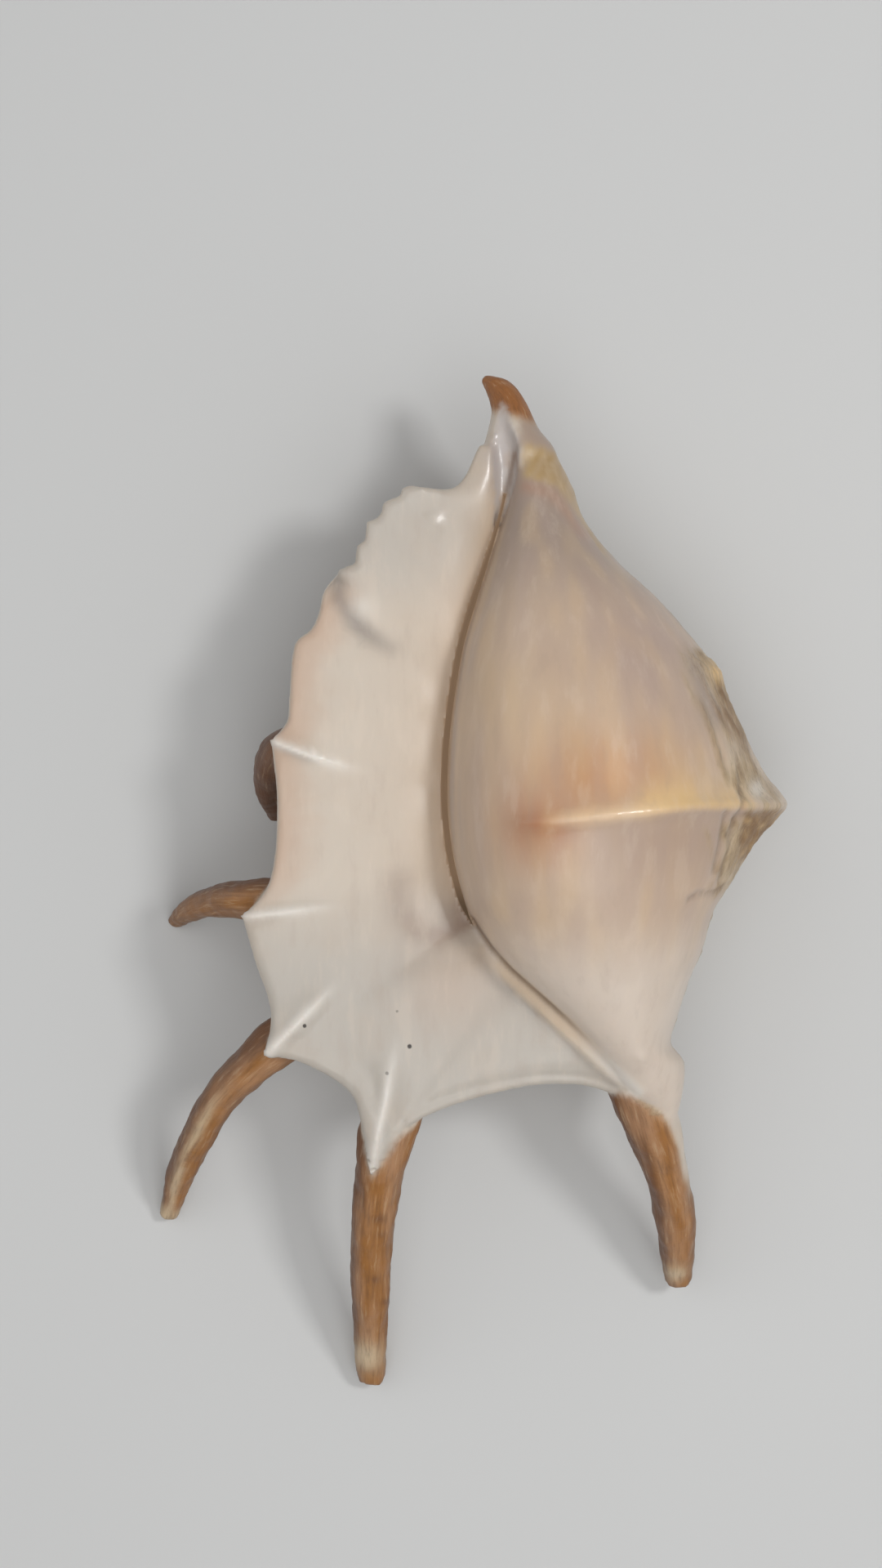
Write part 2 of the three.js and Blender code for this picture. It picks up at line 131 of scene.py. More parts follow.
body = {
    # how fine the loft is, round and along
    "around": 210,
    "along": 230,
    # place along Y, widest points left and right with their heights, crown and its height, lowest height
    "stations": [
        (-61, 36.2, 39.6, 25.6, 25, 38, 27.4, 22.5),
        (-56, 34.5, 40.4, 28.4, 27.6, 37.5, 31.4, 24.5),
        (-52, 31.5, 41.2, 30, 28, 36, 35, 21.5),
        (-47, 27.6, 41.3, 32, 28, 35, 38.2, 19.3),
        (-44, 25.2, 39, 33, 28, 33.5, 40, 17.8),
        (-39, 20.2, 40.4, 33.5, 27.5, 32.5, 42.6, 15.6),
        (-33.5, 14.2, 42.2, 34, 27, 31.5, 45, 13),
        (-28, 8.8, 44.6, 33.6, 26, 30.5, 47.5, 10),
        (-22, 4.9, 46.4, 33, 24.5, 29.5, 50, 6.6),
        (-15.5, 2.8, 50.2, 32.6, 23, 29, 52, 5),
        (-9, 1.6, 52.6, 32.2, 22, 28.5, 52.5, 3.4),
        (-2, 1.1, 53.6, 32, 21.5, 28, 52.8, 2.6),
        (7, 1.4, 52.4, 31.8, 22, 27, 51.8, 2.2),
        (16, 2.5, 48.6, 31.8, 23, 25, 50.1, 3),
        (24, 4, 43.6, 31.6, 24, 23, 47.6, 6),
        (31.5, 6.2, 37.2, 31.4, 25, 20.5, 44.8, 9.4),
        (38, 8.3, 30, 31.2, 26, 18.6, 42.2, 13.6),
        (45, 10.4, 24.4, 31, 27, 17, 38.8, 18),
        (50.5, 11.6, 22.3, 31, 28, 16.6, 36.4, 21.4),
        (55.5, 11.8, 19.8, 31, 28.6, 16, 34, 24.4),
        (59, 12.4, 17.4, 30.8, 29, 15, 32.4, 26),
    ],
    # angle round from +X towards +Z, place along Y, reach, spread round in degrees, spread along in mm
    "knobs": [
        (-8, -3.6, 6.9, 20, 6),
        (-66, 1, 3.2, 20, 7),
        (-112, 10, 4.2, 18, 7),
        (4, 19.4, 1.5, 22, 2.4),
        (-40, 22, 1.4, 26, 4),
    ],
    # height of the keel's crest at places across the body, and how far its sides spread
    "keel": ([6, 11, 16, 22, 28, 40, 50], [0, 0.3, 1.3, 1.4, 1.3, 2, 2.6]),
    "keelSpread": 3.1,
    # place of the crest along Y by the large knob, its slope further in, and where across the slope starts
    "keelPlace": (-3.7, 0.1, 41),
    "whorlSteps": [-19, -29, -37, -42.5],
    "stepDepth": 1.1,
    "stepSpread": 1.5,
}

bodyFirst, bodyLast = body["stations"][0][0], body["stations"][-1][0]
bodyProfile = curveThrough([s[0] for s in body["stations"]], [np.array(s[1:]) for s in body["stations"]])


def bodyAt(y):
    left, right, edge, side, crown, top, belly = bodyProfile(y)
    return {"left": left, "right": right, "edge": edge, "side": side, "crown": crown, "top": top,
            "belly": belly}


def middleHeight(shape, x):
    return lerp(shape["edge"], shape["side"], (x - shape["left"]) / (shape["right"] - shape["left"]))


keelHeight = curveThrough(*body["keel"])


def keelLine(x):
    place, slope, bend = body["keelPlace"]
    return place - slope * np.maximum(0, bend - x)


def bodyRelief(degrees, x, y):
    upper = ease(math.sin(math.radians(degrees)), -0.1, 0.3)
    out = upper * keelHeight(x) * crease(y - keelLine(x), body["keelSpread"], 0.5)
    for angle, place, reach, spreadRound, spreadAlong in body["knobs"]:
        turn = (degrees - angle + 540) % 360 - 180
        out += reach * math.exp(-((turn / spreadRound) ** 2) - abs((y - place) / spreadAlong) ** 1.4)
    outside = ease(math.cos(math.radians(degrees + 82)), 0.3, 0.85)
    for step in body["whorlSteps"]:
        out -= body["stepDepth"] * outside * bell(y - step, body["stepSpread"])
    return out


def bodyPoint(u, v):
    y = lerp(bodyFirst, bodyLast, v)
    shape = bodyAt(y)
    angle = -2 * math.pi * u
    c, s = math.cos(angle), math.sin(angle)
    middle = middleHeight(shape, shape["crown"])
    x = shape["crown"] + c * (shape["right"] - shape["crown"] if c > 0 else shape["crown"] - shape["left"])
    z = middleHeight(shape, x) + s * (shape["top"] - middle if s > 0 else middle - shape["belly"])
    relief = bodyRelief(math.degrees(angle) % 360, x, y)
    return Vector((x + relief * c, y, z + relief * s))


def underside(x, y):
    shape = bodyAt(y)
    middle = middleHeight(shape, shape["crown"])
    reach = shape["crown"] - shape["left"] if x < shape["crown"] else shape["right"] - shape["crown"]
    return middle - (middle - shape["belly"]) * math.sqrt(1 - min(1, abs(x - shape["crown"]) / reach) ** 2)


# Flared outer lip

lip = {
    # shares of the way round a row: where the face ends, where the enamel ends, and where the edge ends
    "faceTo": 0.52,
    "enamelTo": 0.55,
    "edgeTo": 0.62,
    "around": 170,
    "edge": 2.8,
    "overlap": 2.0,
    "crown": 2.2,
    "troughDepth": 0.5,
    "troughWidth": 4.5,
    "level": 32.5,
    # rounded posterior end of the aperture: place, depth, spread
    "pocket": (1.5, -20.5, 0.9, 9.0),
    "foldHeight": 2.4,
    "foldWidth": 3.6,
    # each stretch of the margin runs from digit to digit: rows, the hidden spine's two ends, the margin
    "stretches": [
        (76, (13, 55, 30), (10, 8, 30),
         [(6.6, 57.4, 33.5), (2.4, 50, 34.5), (-5.8, 49.6, 36), (-12, 43.6, 36), (-14.8, 37.4, 35.2),
          (-18.2, 34.6, 33.6)]),
        (56, (10, 8, 30), (10, -4, 30),
         [(-18.2, 34.6, 33.6), (-19.8, 32.4, 34.4), (-20.6, 28.8, 34.9), (-21.9, 26, 35.2), (-24.4, 24, 35.3),
          (-25.2, 20, 35.4), (-25.6, 13.4, 35.2), (-26, 10.4, 34.6), (-28.6, 7.3, 33.4)]),
        (44, (10, -4, 30), (11, -13, 30),
         [(-28.6, 7.3, 33.4), (-27.6, -4.5, 35), (-29, -16.5, 34), (-33.6, -22.4, 32)]),
        (40, (11, -13, 30), (13, -18, 30),
         [(-33.6, -22.4, 32), (-31.4, -30, 33.4), (-28.8, -38.2, 33), (-29.6, -45.6, 31.4)]),
        (44, (13, -18, 30), (16, -23, 31),
         [(-29.6, -45.6, 31.4), (-23.2, -47.2, 32.6), (-15.4, -52.2, 32), (-13.4, -58.6, 30.2),
          (-11.9, -66.2, 26.8)]),
        (80, (16, -23, 31), (36, -44, 31),
         [(-11.9, -66.2, 26.8), (-9, -60.4, 29.8), (-3.6, -56.6, 31.4), (6.6, -52.8, 32), (18, -50.6, 32),
          (27.6, -51.8, 31.4), (36.4, -57.6, 29.6)]),
    ],
    "teeth": {"start": 0.42, "end": 0.98, "count": 4.6, "size": 0.4},
    # where a fold fades out, the digit it leads to, and its share of the full height
    "folds": [
        ((-11, 25), (-18.2, 34.6), 0.35),
        ((-10.5, 0.5), (-28.6, 7.3), 0.9),
        ((-14, -19.8), (-33.6, -22.4), 0.9),
        ((-15, -31), (-29.6, -45.6), 1.1),
        ((-6.5, -38), (-11.9, -66), 1.1),
    ],
}


def foldRise(x, y):
    rise = 0.0
    for start, end, height in lip["folds"]:
        run = Vector(end) - Vector(start)
        reach = Vector((x, y)) - Vector(start)
        along = reach.dot(run) / run.length_squared
        across = (reach - run * along).length
        rise += ease(along, -0.1, 0.9) * height * lip["foldHeight"] * crease(across, lip["foldWidth"], 1.3)
    return rise


def troughDip(x, y):
    # the face dips a little beside the aperture, and more at the aperture's rounded end
    placeX, placeY, depth, spread = lip["pocket"]
    end = depth * bell(math.hypot((x - placeX) * 0.8, y - placeY), spread)
    shut = ease(y, -28, -20) * lerp(1, 0.5, ease(y, 40, 55))
    return end + lip["troughDepth"] * shut * bell(max(0, bodyAt(y)["left"] - x), lip["troughWidth"])


def lipSheet(ends, w):
    spine, margin, tooth = ends
    at = spine.lerp(margin, w) + tooth * w ** 7
    at.z = lerp(spine.z, lip["level"], w) + (margin.z - lip["level"]) * w ** 3
    at.z += lip["crown"] * math.sin(math.pi * w) - troughDip(at.x, at.y)
    return at


def lipFace(ends, w):
    at = lipSheet(ends, w)
    at.z += foldRise(at.x, at.y)
    return at


marginPaths = [pathThrough(stretch[3]) for stretch in lip["stretches"]]
lipRows = [(index, i / stretch[0]) for index, stretch in enumerate(lip["stretches"])
           for i in range(0 if index == 0 else 1, stretch[0] + 1)]


def lipEnds(row):
    index, share = lipRows[row]
    stretch = lip["stretches"][index]
    margin = marginPaths[index](share)
    tooth = Vector((0, 0, 0))
    teeth = lip["teeth"]
    if index == 0 and teeth["start"] < share < teeth["end"]:
        turn = (share - teeth["start"]) / (teeth["end"] - teeth["start"]) * teeth["count"]
        wave = math.sin(2 * math.pi * turn) + 0.45 * math.sin(2 * math.pi * turn * 2.3 + 1)
        tooth = Vector((-1, 1, 0)) * teeth["size"] * wave
    return Vector(stretch[1]).lerp(Vector(stretch[2]), share), margin, tooth


def lipPoint(u, v):
    # u runs over the face from the spine to the margin, round the edge, and back underneath
    row = round(v * (len(lipRows) - 1))
    ends = lipEnds(row)
    spine = ends[0]
    root = max(0.6, lipSheet(ends, 0).z - lip["edge"] - underside(spine.x, spine.y) - lip["overlap"])
    half = lip["edge"] / 2
    if u < lip["faceTo"]:
        return lipFace(ends, 0.97 * (u / lip["faceTo"]) ** 0.85)
    if u < lip["edgeTo"]:
        turn = math.pi * ((u - lip["faceTo"]) / (lip["edgeTo"] - lip["faceTo"]))
        at = lipFace(ends, lerp(0.97, 1, math.sin(turn)))
        at.z += half * (math.cos(turn) - 1)
        return at
    w = 0.97 * (1 - (u - lip["edgeTo"]) / (1 - lip["edgeTo"]))
    at = lipSheet(ends, w)
    at.z -= lip["edge"] + root * (1 - w) ** 2.2 - foldRise(at.x, at.y) * w
    return at


# Digits, canal and the enamel cord at the seam

limbs = {
    # points along the middle line, half widths at them, and the height near the root as a share of the width
    "digit1": ([(31, -41, 30), (33.6, -50, 29), (36, -58, 26.6), (38.6, -66, 22), (40.9, -74.8, 15.6),
                (41.8, -82.6, 9.8), (42.3, -88.6, 5)],
               [5, 5.4, 4.9, 3.9, 3.6, 3.1, 2.3], 0.8),
    "digit2": ([(7, -35, 24.6), (0.6, -42.6, 28.2), (-5, -50, 28.8), (-9, -59, 27.6), (-11.2, -70.5, 23.6),
                (-12.1, -81.4, 17.6), (-12.4, -94, 10.4), (-12.6, -106.4, 2.2)],
               [1.4, 2.4, 4.3, 5, 4, 3.6, 3.2, 2.5], 0.7),
    "digit3": ([(-2, -27, 25.6), (-10.4, -32.6, 29), (-18.4, -37.4, 29.4), (-25.6, -42.6, 28.6),
                (-31.6, -47.4, 26), (-38.4, -54.4, 20.6), (-43.2, -62.8, 14), (-46.6, -70.4, 7.4),
                (-48.9, -77.4, 1.7)],
               [1.3, 1.9, 2.8, 4.3, 3.8, 3.2, 2.9, 2.4, 1.7], 0.7),
    "digit4": ([(-4, -16.4, 24.4), (-12, -17.8, 29.2), (-20, -18.8, 30.6), (-27, -19.6, 29.8),
                (-32.8, -19.9, 26), (-39, -20.4, 18.6), (-44, -22, 10.6), (-48, -24.8, 0.2)],
               [1.3, 1.8, 2.7, 3.9, 3.5, 2.8, 2.2, 1.3], 0.75),
    "digit5": ([(-3, -0.8, 22.8), (-10, 2, 28.4), (-17, 4.4, 31), (-22.4, 6.2, 30.4), (-26.8, 6.1, 27),
                (-29.7, 2.6, 19.6), (-30.4, -1.8, 11), (-29.6, -5.6, 2.6)],
               [1.3, 1.8, 2.6, 3.8, 3.4, 2.8, 2.2, 1.4], 0.75),
    "digit6": ([(-0.4, 17, 23.4), (-5.8, 22.4, 28.4), (-10.8, 27.4, 30.4), (-14.4, 31, 30.2),
                (-17, 32, 26.8), (-18.2, 28.6, 18.6), (-18, 24.4, 10.6), (-17.2, 21.4, 5.6)],
               [1.2, 1.6, 2.4, 3.4, 3, 2.5, 1.9, 1.2], 0.75),
    "canal": ([(14.6, 46, 28.8), (13.4, 54, 29.6), (12.4, 58, 29.9), (11.9, 61.4, 29.9), (11.4, 64.2, 29.4),
               (9.8, 67, 28.4), (7.3, 69.3, 27.2)],
              [6, 6.6, 5.2, 3.8, 3, 2.3, 0.8], 0.72),
    "cord": ([(7.6, -28.2, 30.6), (10.6, -31.4, 32.3), (15.4, -35.6, 33.6), (21.6, -41.2, 33.9),
              (27.8, -46.8, 33), (33, -51.6, 30.6)],
             [0.6, 0.9, 1.3, 1.6, 1.8, 1.4], 1),
    "groove": ([(9.2, 42, 30), (10.4, 47, 32.6), (10.8, 52, 33.7), (10.6, 56, 34.5), (9.9, 60, 34.8),
                (9.4, 64.2, 33.6), (8, 67.4, 31.6)],
               [0.6, 1.2, 1.9, 2.3, 2.0, 1.4, 0.7], 1),
}


def limbSurface(points, halves, flat, lump=0.0):
    path = pathThrough(points)
    size = curveThrough(path.shares, halves)
    up = Vector((0, 0, 1))

    def at(u, v):
        ahead = (path(min(1, v + 0.01)) - path(max(0, v - 0.01))).normalized()
        across = ahead.cross(up).normalized()
        over = across.cross(ahead)
        half = size(v)
        rise = half * lerp(flat, 1, ease(v, 0.2, 0.6))
        turn = 2 * math.pi * u
        spot = path(v)
        bump = 1 + lump * noise.noise(spot * 0.16 + Vector((math.cos(turn), math.sin(turn), 0)) * 1.1)
        return spot + across * (half * bump * math.cos(turn)) + over * (rise * bump * math.sin(turn))

    at.length = path.length
    return at


# The hollow behind the aperture, and the slit that it opens by

hollow = {
    "from": -23.8, "to": 49, "around": 96, "along": 150,
    "slitHalf": 0.52,
    # of the slit's mid line: distance from the body's left edge, and height over it
    "slit": [(-0.55, 2.2), (-0.5, -1.6), (-0.2, -4.6)],
    # inside: shares of the body's width and of its depth, and the half thickness in mm
    "inside": [(0.07, 0.26, 1.6), (0.16, 0.33, 3.2), (0.32, 0.43, 5.2), (0.52, 0.54, 5.5),
               (0.72, 0.56, 3.6)],
}
hollowShares = [0, 0.06, 0.14, 0.26, 0.4, 0.6, 0.8, 1]
hollowHalf = curveThrough(hollowShares,
                          [hollow["slitHalf"]] * 2 + [0.7] + [row[2] for row in hollow["inside"]])


def hollowPoint(u, v):
    y = lerp(hollow["from"], hollow["to"], v)
    shape = bodyAt(y)
    width, depth = shape["right"] - shape["left"], shape["edge"] - shape["belly"]
    opening = ease(y, hollow["from"] - 1, hollow["from"] + 5)
    narrow = ease(y, hollow["from"] - 1, hollow["from"] + 9) * lerp(1, 0.3, ease(y, 26, 48))
    shallow = lerp(1, 0.6, ease(y, 26, 46))
    middle = curveThrough(hollowShares, [Vector((shape["left"] + off, 0, shape["edge"] + rise * shallow))
                                         for off, rise in hollow["slit"]]
                          + [Vector((shape["left"] + a * width, 0, shape["edge"] - d * depth))
                             for a, d, half in hollow["inside"]])
    t = (1 - abs(2 * u - 1)) ** 1.3
    sign = 1 if u < 0.5 else -1
    ahead = (middle(min(1, t + 0.01)) - middle(max(0, t - 0.01))).normalized()
    half = hollowHalf(t) * lerp(opening * lerp(1, 0.4, ease(y, 30, 50)), narrow, ease(t, 0.1, 0.3))
    half *= math.sqrt(max(0.0, 1 - ((t - 0.86) / 0.14) ** 2)) if t > 0.86 else 1
    at = middle(t)
    return Vector((at.x - sign * half * ahead.z, y, at.z + sign * half * ahead.x))


# lofts by formula: a grid whose sides are joined round and whose ends are closed

partMarks = []  # where each loft's points lie, so that the fused shell knows its parts


def loft(name, surface, around, along):
    bm = bmesh.new()
    bmesh.ops.create_grid(bm, x_segments=around, y_segments=along, size=1)
    for vert in bm.verts:
        u, v = (vert.co.x + 1) / 2, (vert.co.y + 1) / 2
        vert.co = surface(u, v)
        partMarks.append((vert.co.copy(), name, u, v))
    bmesh.ops.remove_doubles(bm, verts=bm.verts, dist=0.002)
    rims = [edge for edge in bm.edges if edge.is_boundary]
    bmesh.ops.holes_fill(bm, edges=rims, sides=0)
    bmesh.ops.recalc_face_normals(bm, faces=bm.faces)
    if bm.calc_volume(signed=True) < 0:
        bmesh.ops.reverse_faces(bm, faces=bm.faces)
    bmesh.ops.triangulate(bm, faces=[face for face in bm.faces if len(face.verts) > 4])
    mesh = bpy.data.meshes.new(name)
    bm.to_mesh(mesh)
    bm.free()
    piece = bpy.data.objects.new(name, mesh)
    bpy.context.scene.collection.objects.link(piece)
    return piece


def limbLoft(name, lump=0.0):
    points, halves, flat = limbs[name]
    surface = limbSurface(points, halves, flat, lump)
    return loft(name, surface, 36, max(12, round(surface.length / 0.7)))


print("lofting the body whorl, lip, digits and canal")
solids = [loft("bodyWhorl", bodyPoint, body["around"], body["along"]),
          loft("outerLip", lipPoint, lip["around"], len(lipRows) - 1)]
solids += [limbLoft(name, 0.12) for name in limbs if name.startswith("digit")]
solids += [limbLoft("canal"), limbLoft("cord")]
canalGroove = limbLoft("groove")
hollowCutter = loft("hollow", hollowPoint, hollow["around"], hollow["along"])


# Fusing: the lofts are added up and given one even skin, then the hollow is cut out

skin = {"voxel": 0.5, "passes": 4, "smoothing": 0.5, "triangles": 186000}


def bakeModifiers(piece):
    graph = bpy.context.evaluated_depsgraph_get()
    mesh = bpy.data.meshes.new_from_object(piece.evaluated_get(graph))
    piece.modifiers.clear()
    piece.data = mesh


def combine(piece, other, operation):
    step = piece.modifiers.new(operation.lower(), "BOOLEAN")
    step.operation = operation
    step.solver = "MANIFOLD"
    step.object = other
    bakeModifiers(piece)
    bpy.data.objects.remove(other)


print("fusing the lofts")
shell = solids[0]
shell.name = "shellSkin"
for solid in solids[1:]:
    combine(shell, solid, "UNION")
combine(shell, canalGroove, "DIFFERENCE")
print("fused", len(shell.data.polygons))
remesh = shell.modifiers.new("evenSkin", "REMESH")
remesh.mode = "VOXEL"
remesh.voxel_size = skin["voxel"]
bakeModifiers(shell)

bm = bmesh.new()
bm.from_mesh(shell.data)
for i in range(skin["passes"]):
    bmesh.ops.smooth_vert(bm, verts=bm.verts, factor=skin["smoothing"], use_axis_x=True, use_axis_y=True,
                          use_axis_z=True)
bm.to_mesh(shell.data)
bm.free()
combine(shell, hollowCutter, "DIFFERENCE")
shell.modifiers.new("threeSided", "TRIANGULATE")
bakeModifiers(shell)
thinning = shell.modifiers.new("thinning", "DECIMATE")
thinning.ratio = min(1, skin["triangles"] / len(shell.data.polygons))
bakeModifiers(shell)
bm = bmesh.new()
bm.from_mesh(shell.data)
print("skin", len(bm.faces), "triangles")


# What each point of the skin belongs to

print("reading the parts of the skin")
tree = KDTree(len(partMarks))
for i, mark in enumerate(partMarks):
    tree.insert(mark[0], i)
tree.balance()
bm.verts.ensure_lookup_table()
marks = [partMarks[tree.find(vert.co)[1]] for vert in bm.verts]
partNames = [mark[1] for mark in marks]
around = np.array([mark[2] for mark in marks])
along = np.array([mark[3] for mark in marks])
spots = np.array([vert.co for vert in bm.verts])
x, y, z = spots.T
faceUp = np.array([vert.normal.z for vert in bm.verts])
isPart = {name: np.array([part == name for part in partNames]) for name in set(partNames)}
bm.edges.ensure_lookup_table()
ends = np.array([[edge.verts[0].index, edge.verts[1].index] for edge in bm.edges])
neighbours = np.bincount(ends.ravel(), minlength=len(spots)).reshape(-1, 1)

onBody, onCord, onCanal, onGroove = (isPart[name] for name in ("bodyWhorl", "cord", "canal", "groove"))
inHollow = isPart["hollow"]
onLip = isPart["outerLip"] & (around < lip["enamelTo"])
onLipBack = isPart["outerLip"] & (around >= lip["edgeTo"])
onDigit = sum(isPart[name] for name in isPart if name.startswith("digit")) > 0
bodyAngle = np.where(onBody, (-360 * around) % 360, 0)


# helpers that work on every point of the skin at once

def softened(field, passes):
    # evens a field out along the skin
    field = field.astype(float)
    flat = field.reshape(len(spots), -1)
    for i in range(passes):
        total = np.zeros_like(flat)
        np.add.at(total, ends[:, 0], flat[ends[:, 1]])
        np.add.at(total, ends[:, 1], flat[ends[:, 0]])
        flat = 0.4 * flat + 0.6 * total / neighbours
    return flat.reshape(field.shape)


def easeAll(values, low, high):
    t = np.clip((values - low) / (high - low), 0, 1)
    return t * t * (3 - 2 * t)


def bellAll(distance, width):
    return np.exp(-(distance / width) ** 2)


def bellAt(place, spread):
    # a soft round spot seen from above
    return bellAll(np.hypot(x - place[0], y - place[1]), spread)


def noiseAt(places):
    return np.array([noise.noise(Vector(place)) for place in places])


def beside(points):
    # distance from a line seen from above, the side of it (left is positive), and the share along it
    best = np.full(len(spots), np.inf)
    side, share = np.zeros(len(spots)), np.zeros(len(spots))
    steps = [math.dist(a, b) for a, b in zip(points, points[1:])]
    for i, (a, b) in enumerate(zip(points, points[1:])):
        runX, runY = (b[0] - a[0]) / steps[i], (b[1] - a[1]) / steps[i]
        ahead = np.clip((x - a[0]) * runX + (y - a[1]) * runY, 0, steps[i])
        away = np.hypot(x - a[0] - ahead * runX, y - a[1] - ahead * runY)
        near = away < best
        best = np.where(near, away, best)
        side = np.where(near, np.sign(runX * (y - a[1]) - runY * (x - a[0])), side)
        share = np.where(near, (sum(steps[:i]) + ahead) / sum(steps), share)
    return best, side, share


def bellBeside(points, width):
    # a soft line seen from above
    return bellAll(beside(points)[0], width)


# grain runs along each limb, and along Y elsewhere
limbGrain = {"steps": 200, "shift": 40}  # the shift keeps the grain of the limbs clear of the body's


def limbPlaces():
    place = np.zeros(len(spots))
    grain = np.column_stack([x, z, y])
    steps = limbGrain["steps"]
    for name in isPart:
        if name not in limbs or name == "groove" or not isPart[name].any():
            continue
        path = pathThrough(limbs[name][0])
        axis = np.array([path(i / steps) for i in range(steps + 1)])
        chosen = np.flatnonzero(isPart[name])
        nearest = np.linalg.norm(spots[chosen][:, None, :] - axis[None], axis=2).argmin(axis=1)
        place[chosen] = nearest / steps
        for k, i in zip(nearest, chosen):
            ahead = Vector(axis[min(steps, k + 2)] - axis[max(0, k - 2)]).normalized()
            across = ahead.cross(Vector((0, 0, 1))).normalized()
            over = across.cross(ahead)
            off = Vector(spots[i] - axis[k])
            grain[i] = (off.dot(across) + limbGrain["shift"], off.dot(over),
                        k / steps * path.length + off.dot(ahead))
    return place, grain


limbPlace, grain = limbPlaces()
limbSide = grain[:, 0] - limbGrain["shift"]  # how far to the side of its limb's middle a point lies
streak = noiseAt(grain * (0.55, 0.55, 0.05))
fine = noiseAt(grain * (1.3, 1.3, 0.1) + (0, 0, 9))
fleck = noiseAt(spots * 0.9)
ragged = noiseAt(np.column_stack([x * 0.9 + y * 0.35, y * 0.12, z * 0.3]))
bands = noiseAt(spots * (0.34, 0.035, 0.34))
mottle = noiseAt(spots * 0.09) + 0.5 * noiseAt(spots * 0.31)

leftEdge = np.array([bodyAt(b)["left"] for b in y])
gap = leftEdge - x                      # from the body's left edge out over the lip
keelGap = y - keelLine(x)               # up from the keel
offCrest = 1 - bellAll(keelGap, 1.8)
openPart = easeAll(y, -26, -16)         # where the aperture is open


# Where the enamel ends and the rough outside begins

enamelEnd = {
    # on the body: places along Y, and how far out across the body the callus reaches there
    "callus": ([-22, -18.4, -15, -8.2, -3.5, 0, 8, 14.8, 21.6, 26],
               [60, 46.5, 46, 46.5, 53, 47.5, 46, 43, 40.5, 60]),
    "callusRagged": 5,
    # the slanting end at the first digit
    "slant": [(22, -50.8), (26.2, -51.5), (33.1, -52.9), (37, -55), (38.8, -58), (40.4, -62), (42.6, -72)],
    # the white wedge on the second digit: places along Y, and its left and right side there
    "wedgeLeft": ([-67.2, -62, -57], [-12, -12.9, -13.8]),
    "wedgeRight": ([-67.2, -64.2, -60.6, -57.6], [-11.8, -9.8, -7.4, -3.8]),
    "canalTip": (61.8, 63.6),
}


def outsideShare():
    reach = curveThrough(*enamelEnd["callus"])
    reachHere = np.array([reach(b) for b in y])
    past = easeAll(x - reachHere + enamelEnd["callusRagged"] * ragged, -1.2, 2.2) * (bodyAngle < 90)
    callusTurn = easeAll(bodyAngle, 4, 14) * (1 - easeAll(bodyAngle, 184, 190))
    share = onBody * np.clip(1 - callusTurn + callusTurn * past, 0, 1) + onLipBack * 1.0
    share = np.where(onDigit, 1.0, share)

    away, side, _ = beside(enamelEnd["slant"])
    slant = easeAll(-away * side, -0.3, 0.5) + easeAll(-faceUp, 0, 0.4) + easeAll(-y, 66, 73)
    share = np.where(isPart["digit1"] | (onBody & (y < -50) & (faceUp > 0)), np.clip(slant, 0, 1), share)

    wedge = easeAll(x - np.interp(y, *enamelEnd["wedgeLeft"]), -0.2, 0.4)
    wedge *= easeAll(np.interp(y, *enamelEnd["wedgeRight"]) - x, -0.2, 0.4)
    share = np.where(isPart["digit2"] & (faceUp > 0.1), 1 - wedge * easeAll(y, -67.4, -66.4), share)
    share = np.where(onLip & (y < -58), np.maximum(share, 1 - wedge), share)

    tip = easeAll(y + 0.3 * (x - 9.6), *enamelEnd["canalTip"]) + easeAll(-faceUp, -0.3, 0.3)
    return np.clip(np.where(onCanal, tip, share), 0, 1)


outside = outsideShare()
sideZone = onBody * outside * easeAll(z, 8, 22) * easeAll(x, 34, 40)  # the worn side round the large knob


# Colours: washes that go over each other, part by part

def tone(red, green, blue):
    return np.array([(c / 255 / 12.92) if c <= 10 else ((c / 255 + 0.055) / 1.055) ** 2.4
                     for c in (red, green, blue)])


paint = {
    "porcelain": tone(205, 192, 176),
    "porcelainCool": tone(184, 177, 167),
    "porcelainPeach": tone(196, 166, 142),
    "apertureShadeTan": tone(200, 172, 142),
    "slotShadeBrown": tone(160, 124, 94),
    "pocketShadeMauve": tone(136, 111, 95),
    "foldShade": tone(128, 116, 108),
    "callus": tone(198, 174, 151),
    "callusGreyAndShade": tone(154, 137, 126),
    "callusLilac": tone(176, 153, 143),
    "callusRose": tone(180, 126, 92),
    "callusOrange": tone(193, 137, 86),
    "callusYellowAndLit": tone(228, 192, 136),
    "callusShade": tone(170, 145, 128),
    "callusPaleAndHighlight": tone(214, 199, 184),
    "rimShadeBlue": tone(180, 167, 158),
    "channelLilac": tone(176, 168, 166),
    "backCream": tone(204, 180, 142),
    "backBrown": tone(140, 98, 56),
    "knobCream": tone(196, 174, 142),
    "knobBrown": tone(124, 90, 44),
    "knobOrange": tone(120, 78, 8),
    "crestHighlight": tone(240, 208, 166),
    "cordCream": tone(224, 200, 172),
    "ridgeWhiteAndHighlight": tone(232, 226, 217),
    "digitGold": tone(154, 102, 46),
    "digitBrownAndShade": tone(112, 72, 40),
    "digitDarkAndShade": tone(94, 60, 42),
    "digitRose": tone(186, 142, 104),
    "digitPale": tone(206, 184, 152),
    "canalOrange": tone(152, 98, 52),
    "stripeYellow": tone(190, 160, 108),
    "canalShade": tone(160, 138, 122),
    "seamShadeBrown": tone(112, 86, 66),
    "wrinkleBrown": tone(104, 82, 66),
    "inside": tone(168, 146, 122),
}

colour = np.tile(paint["porcelain"], (len(spots), 1))


def wash(name, amount):
    global colour
    amount = np.clip(amount, 0, 1)[:, None]
    colour = colour * (1 - amount) + paint[name] * amount


def washSpots(where, rows):
    # round spots seen from above: tone, place, spread and strength
    for name, place, spread, strength in rows:
        wash(name, where * bellAt(place, spread) * strength)


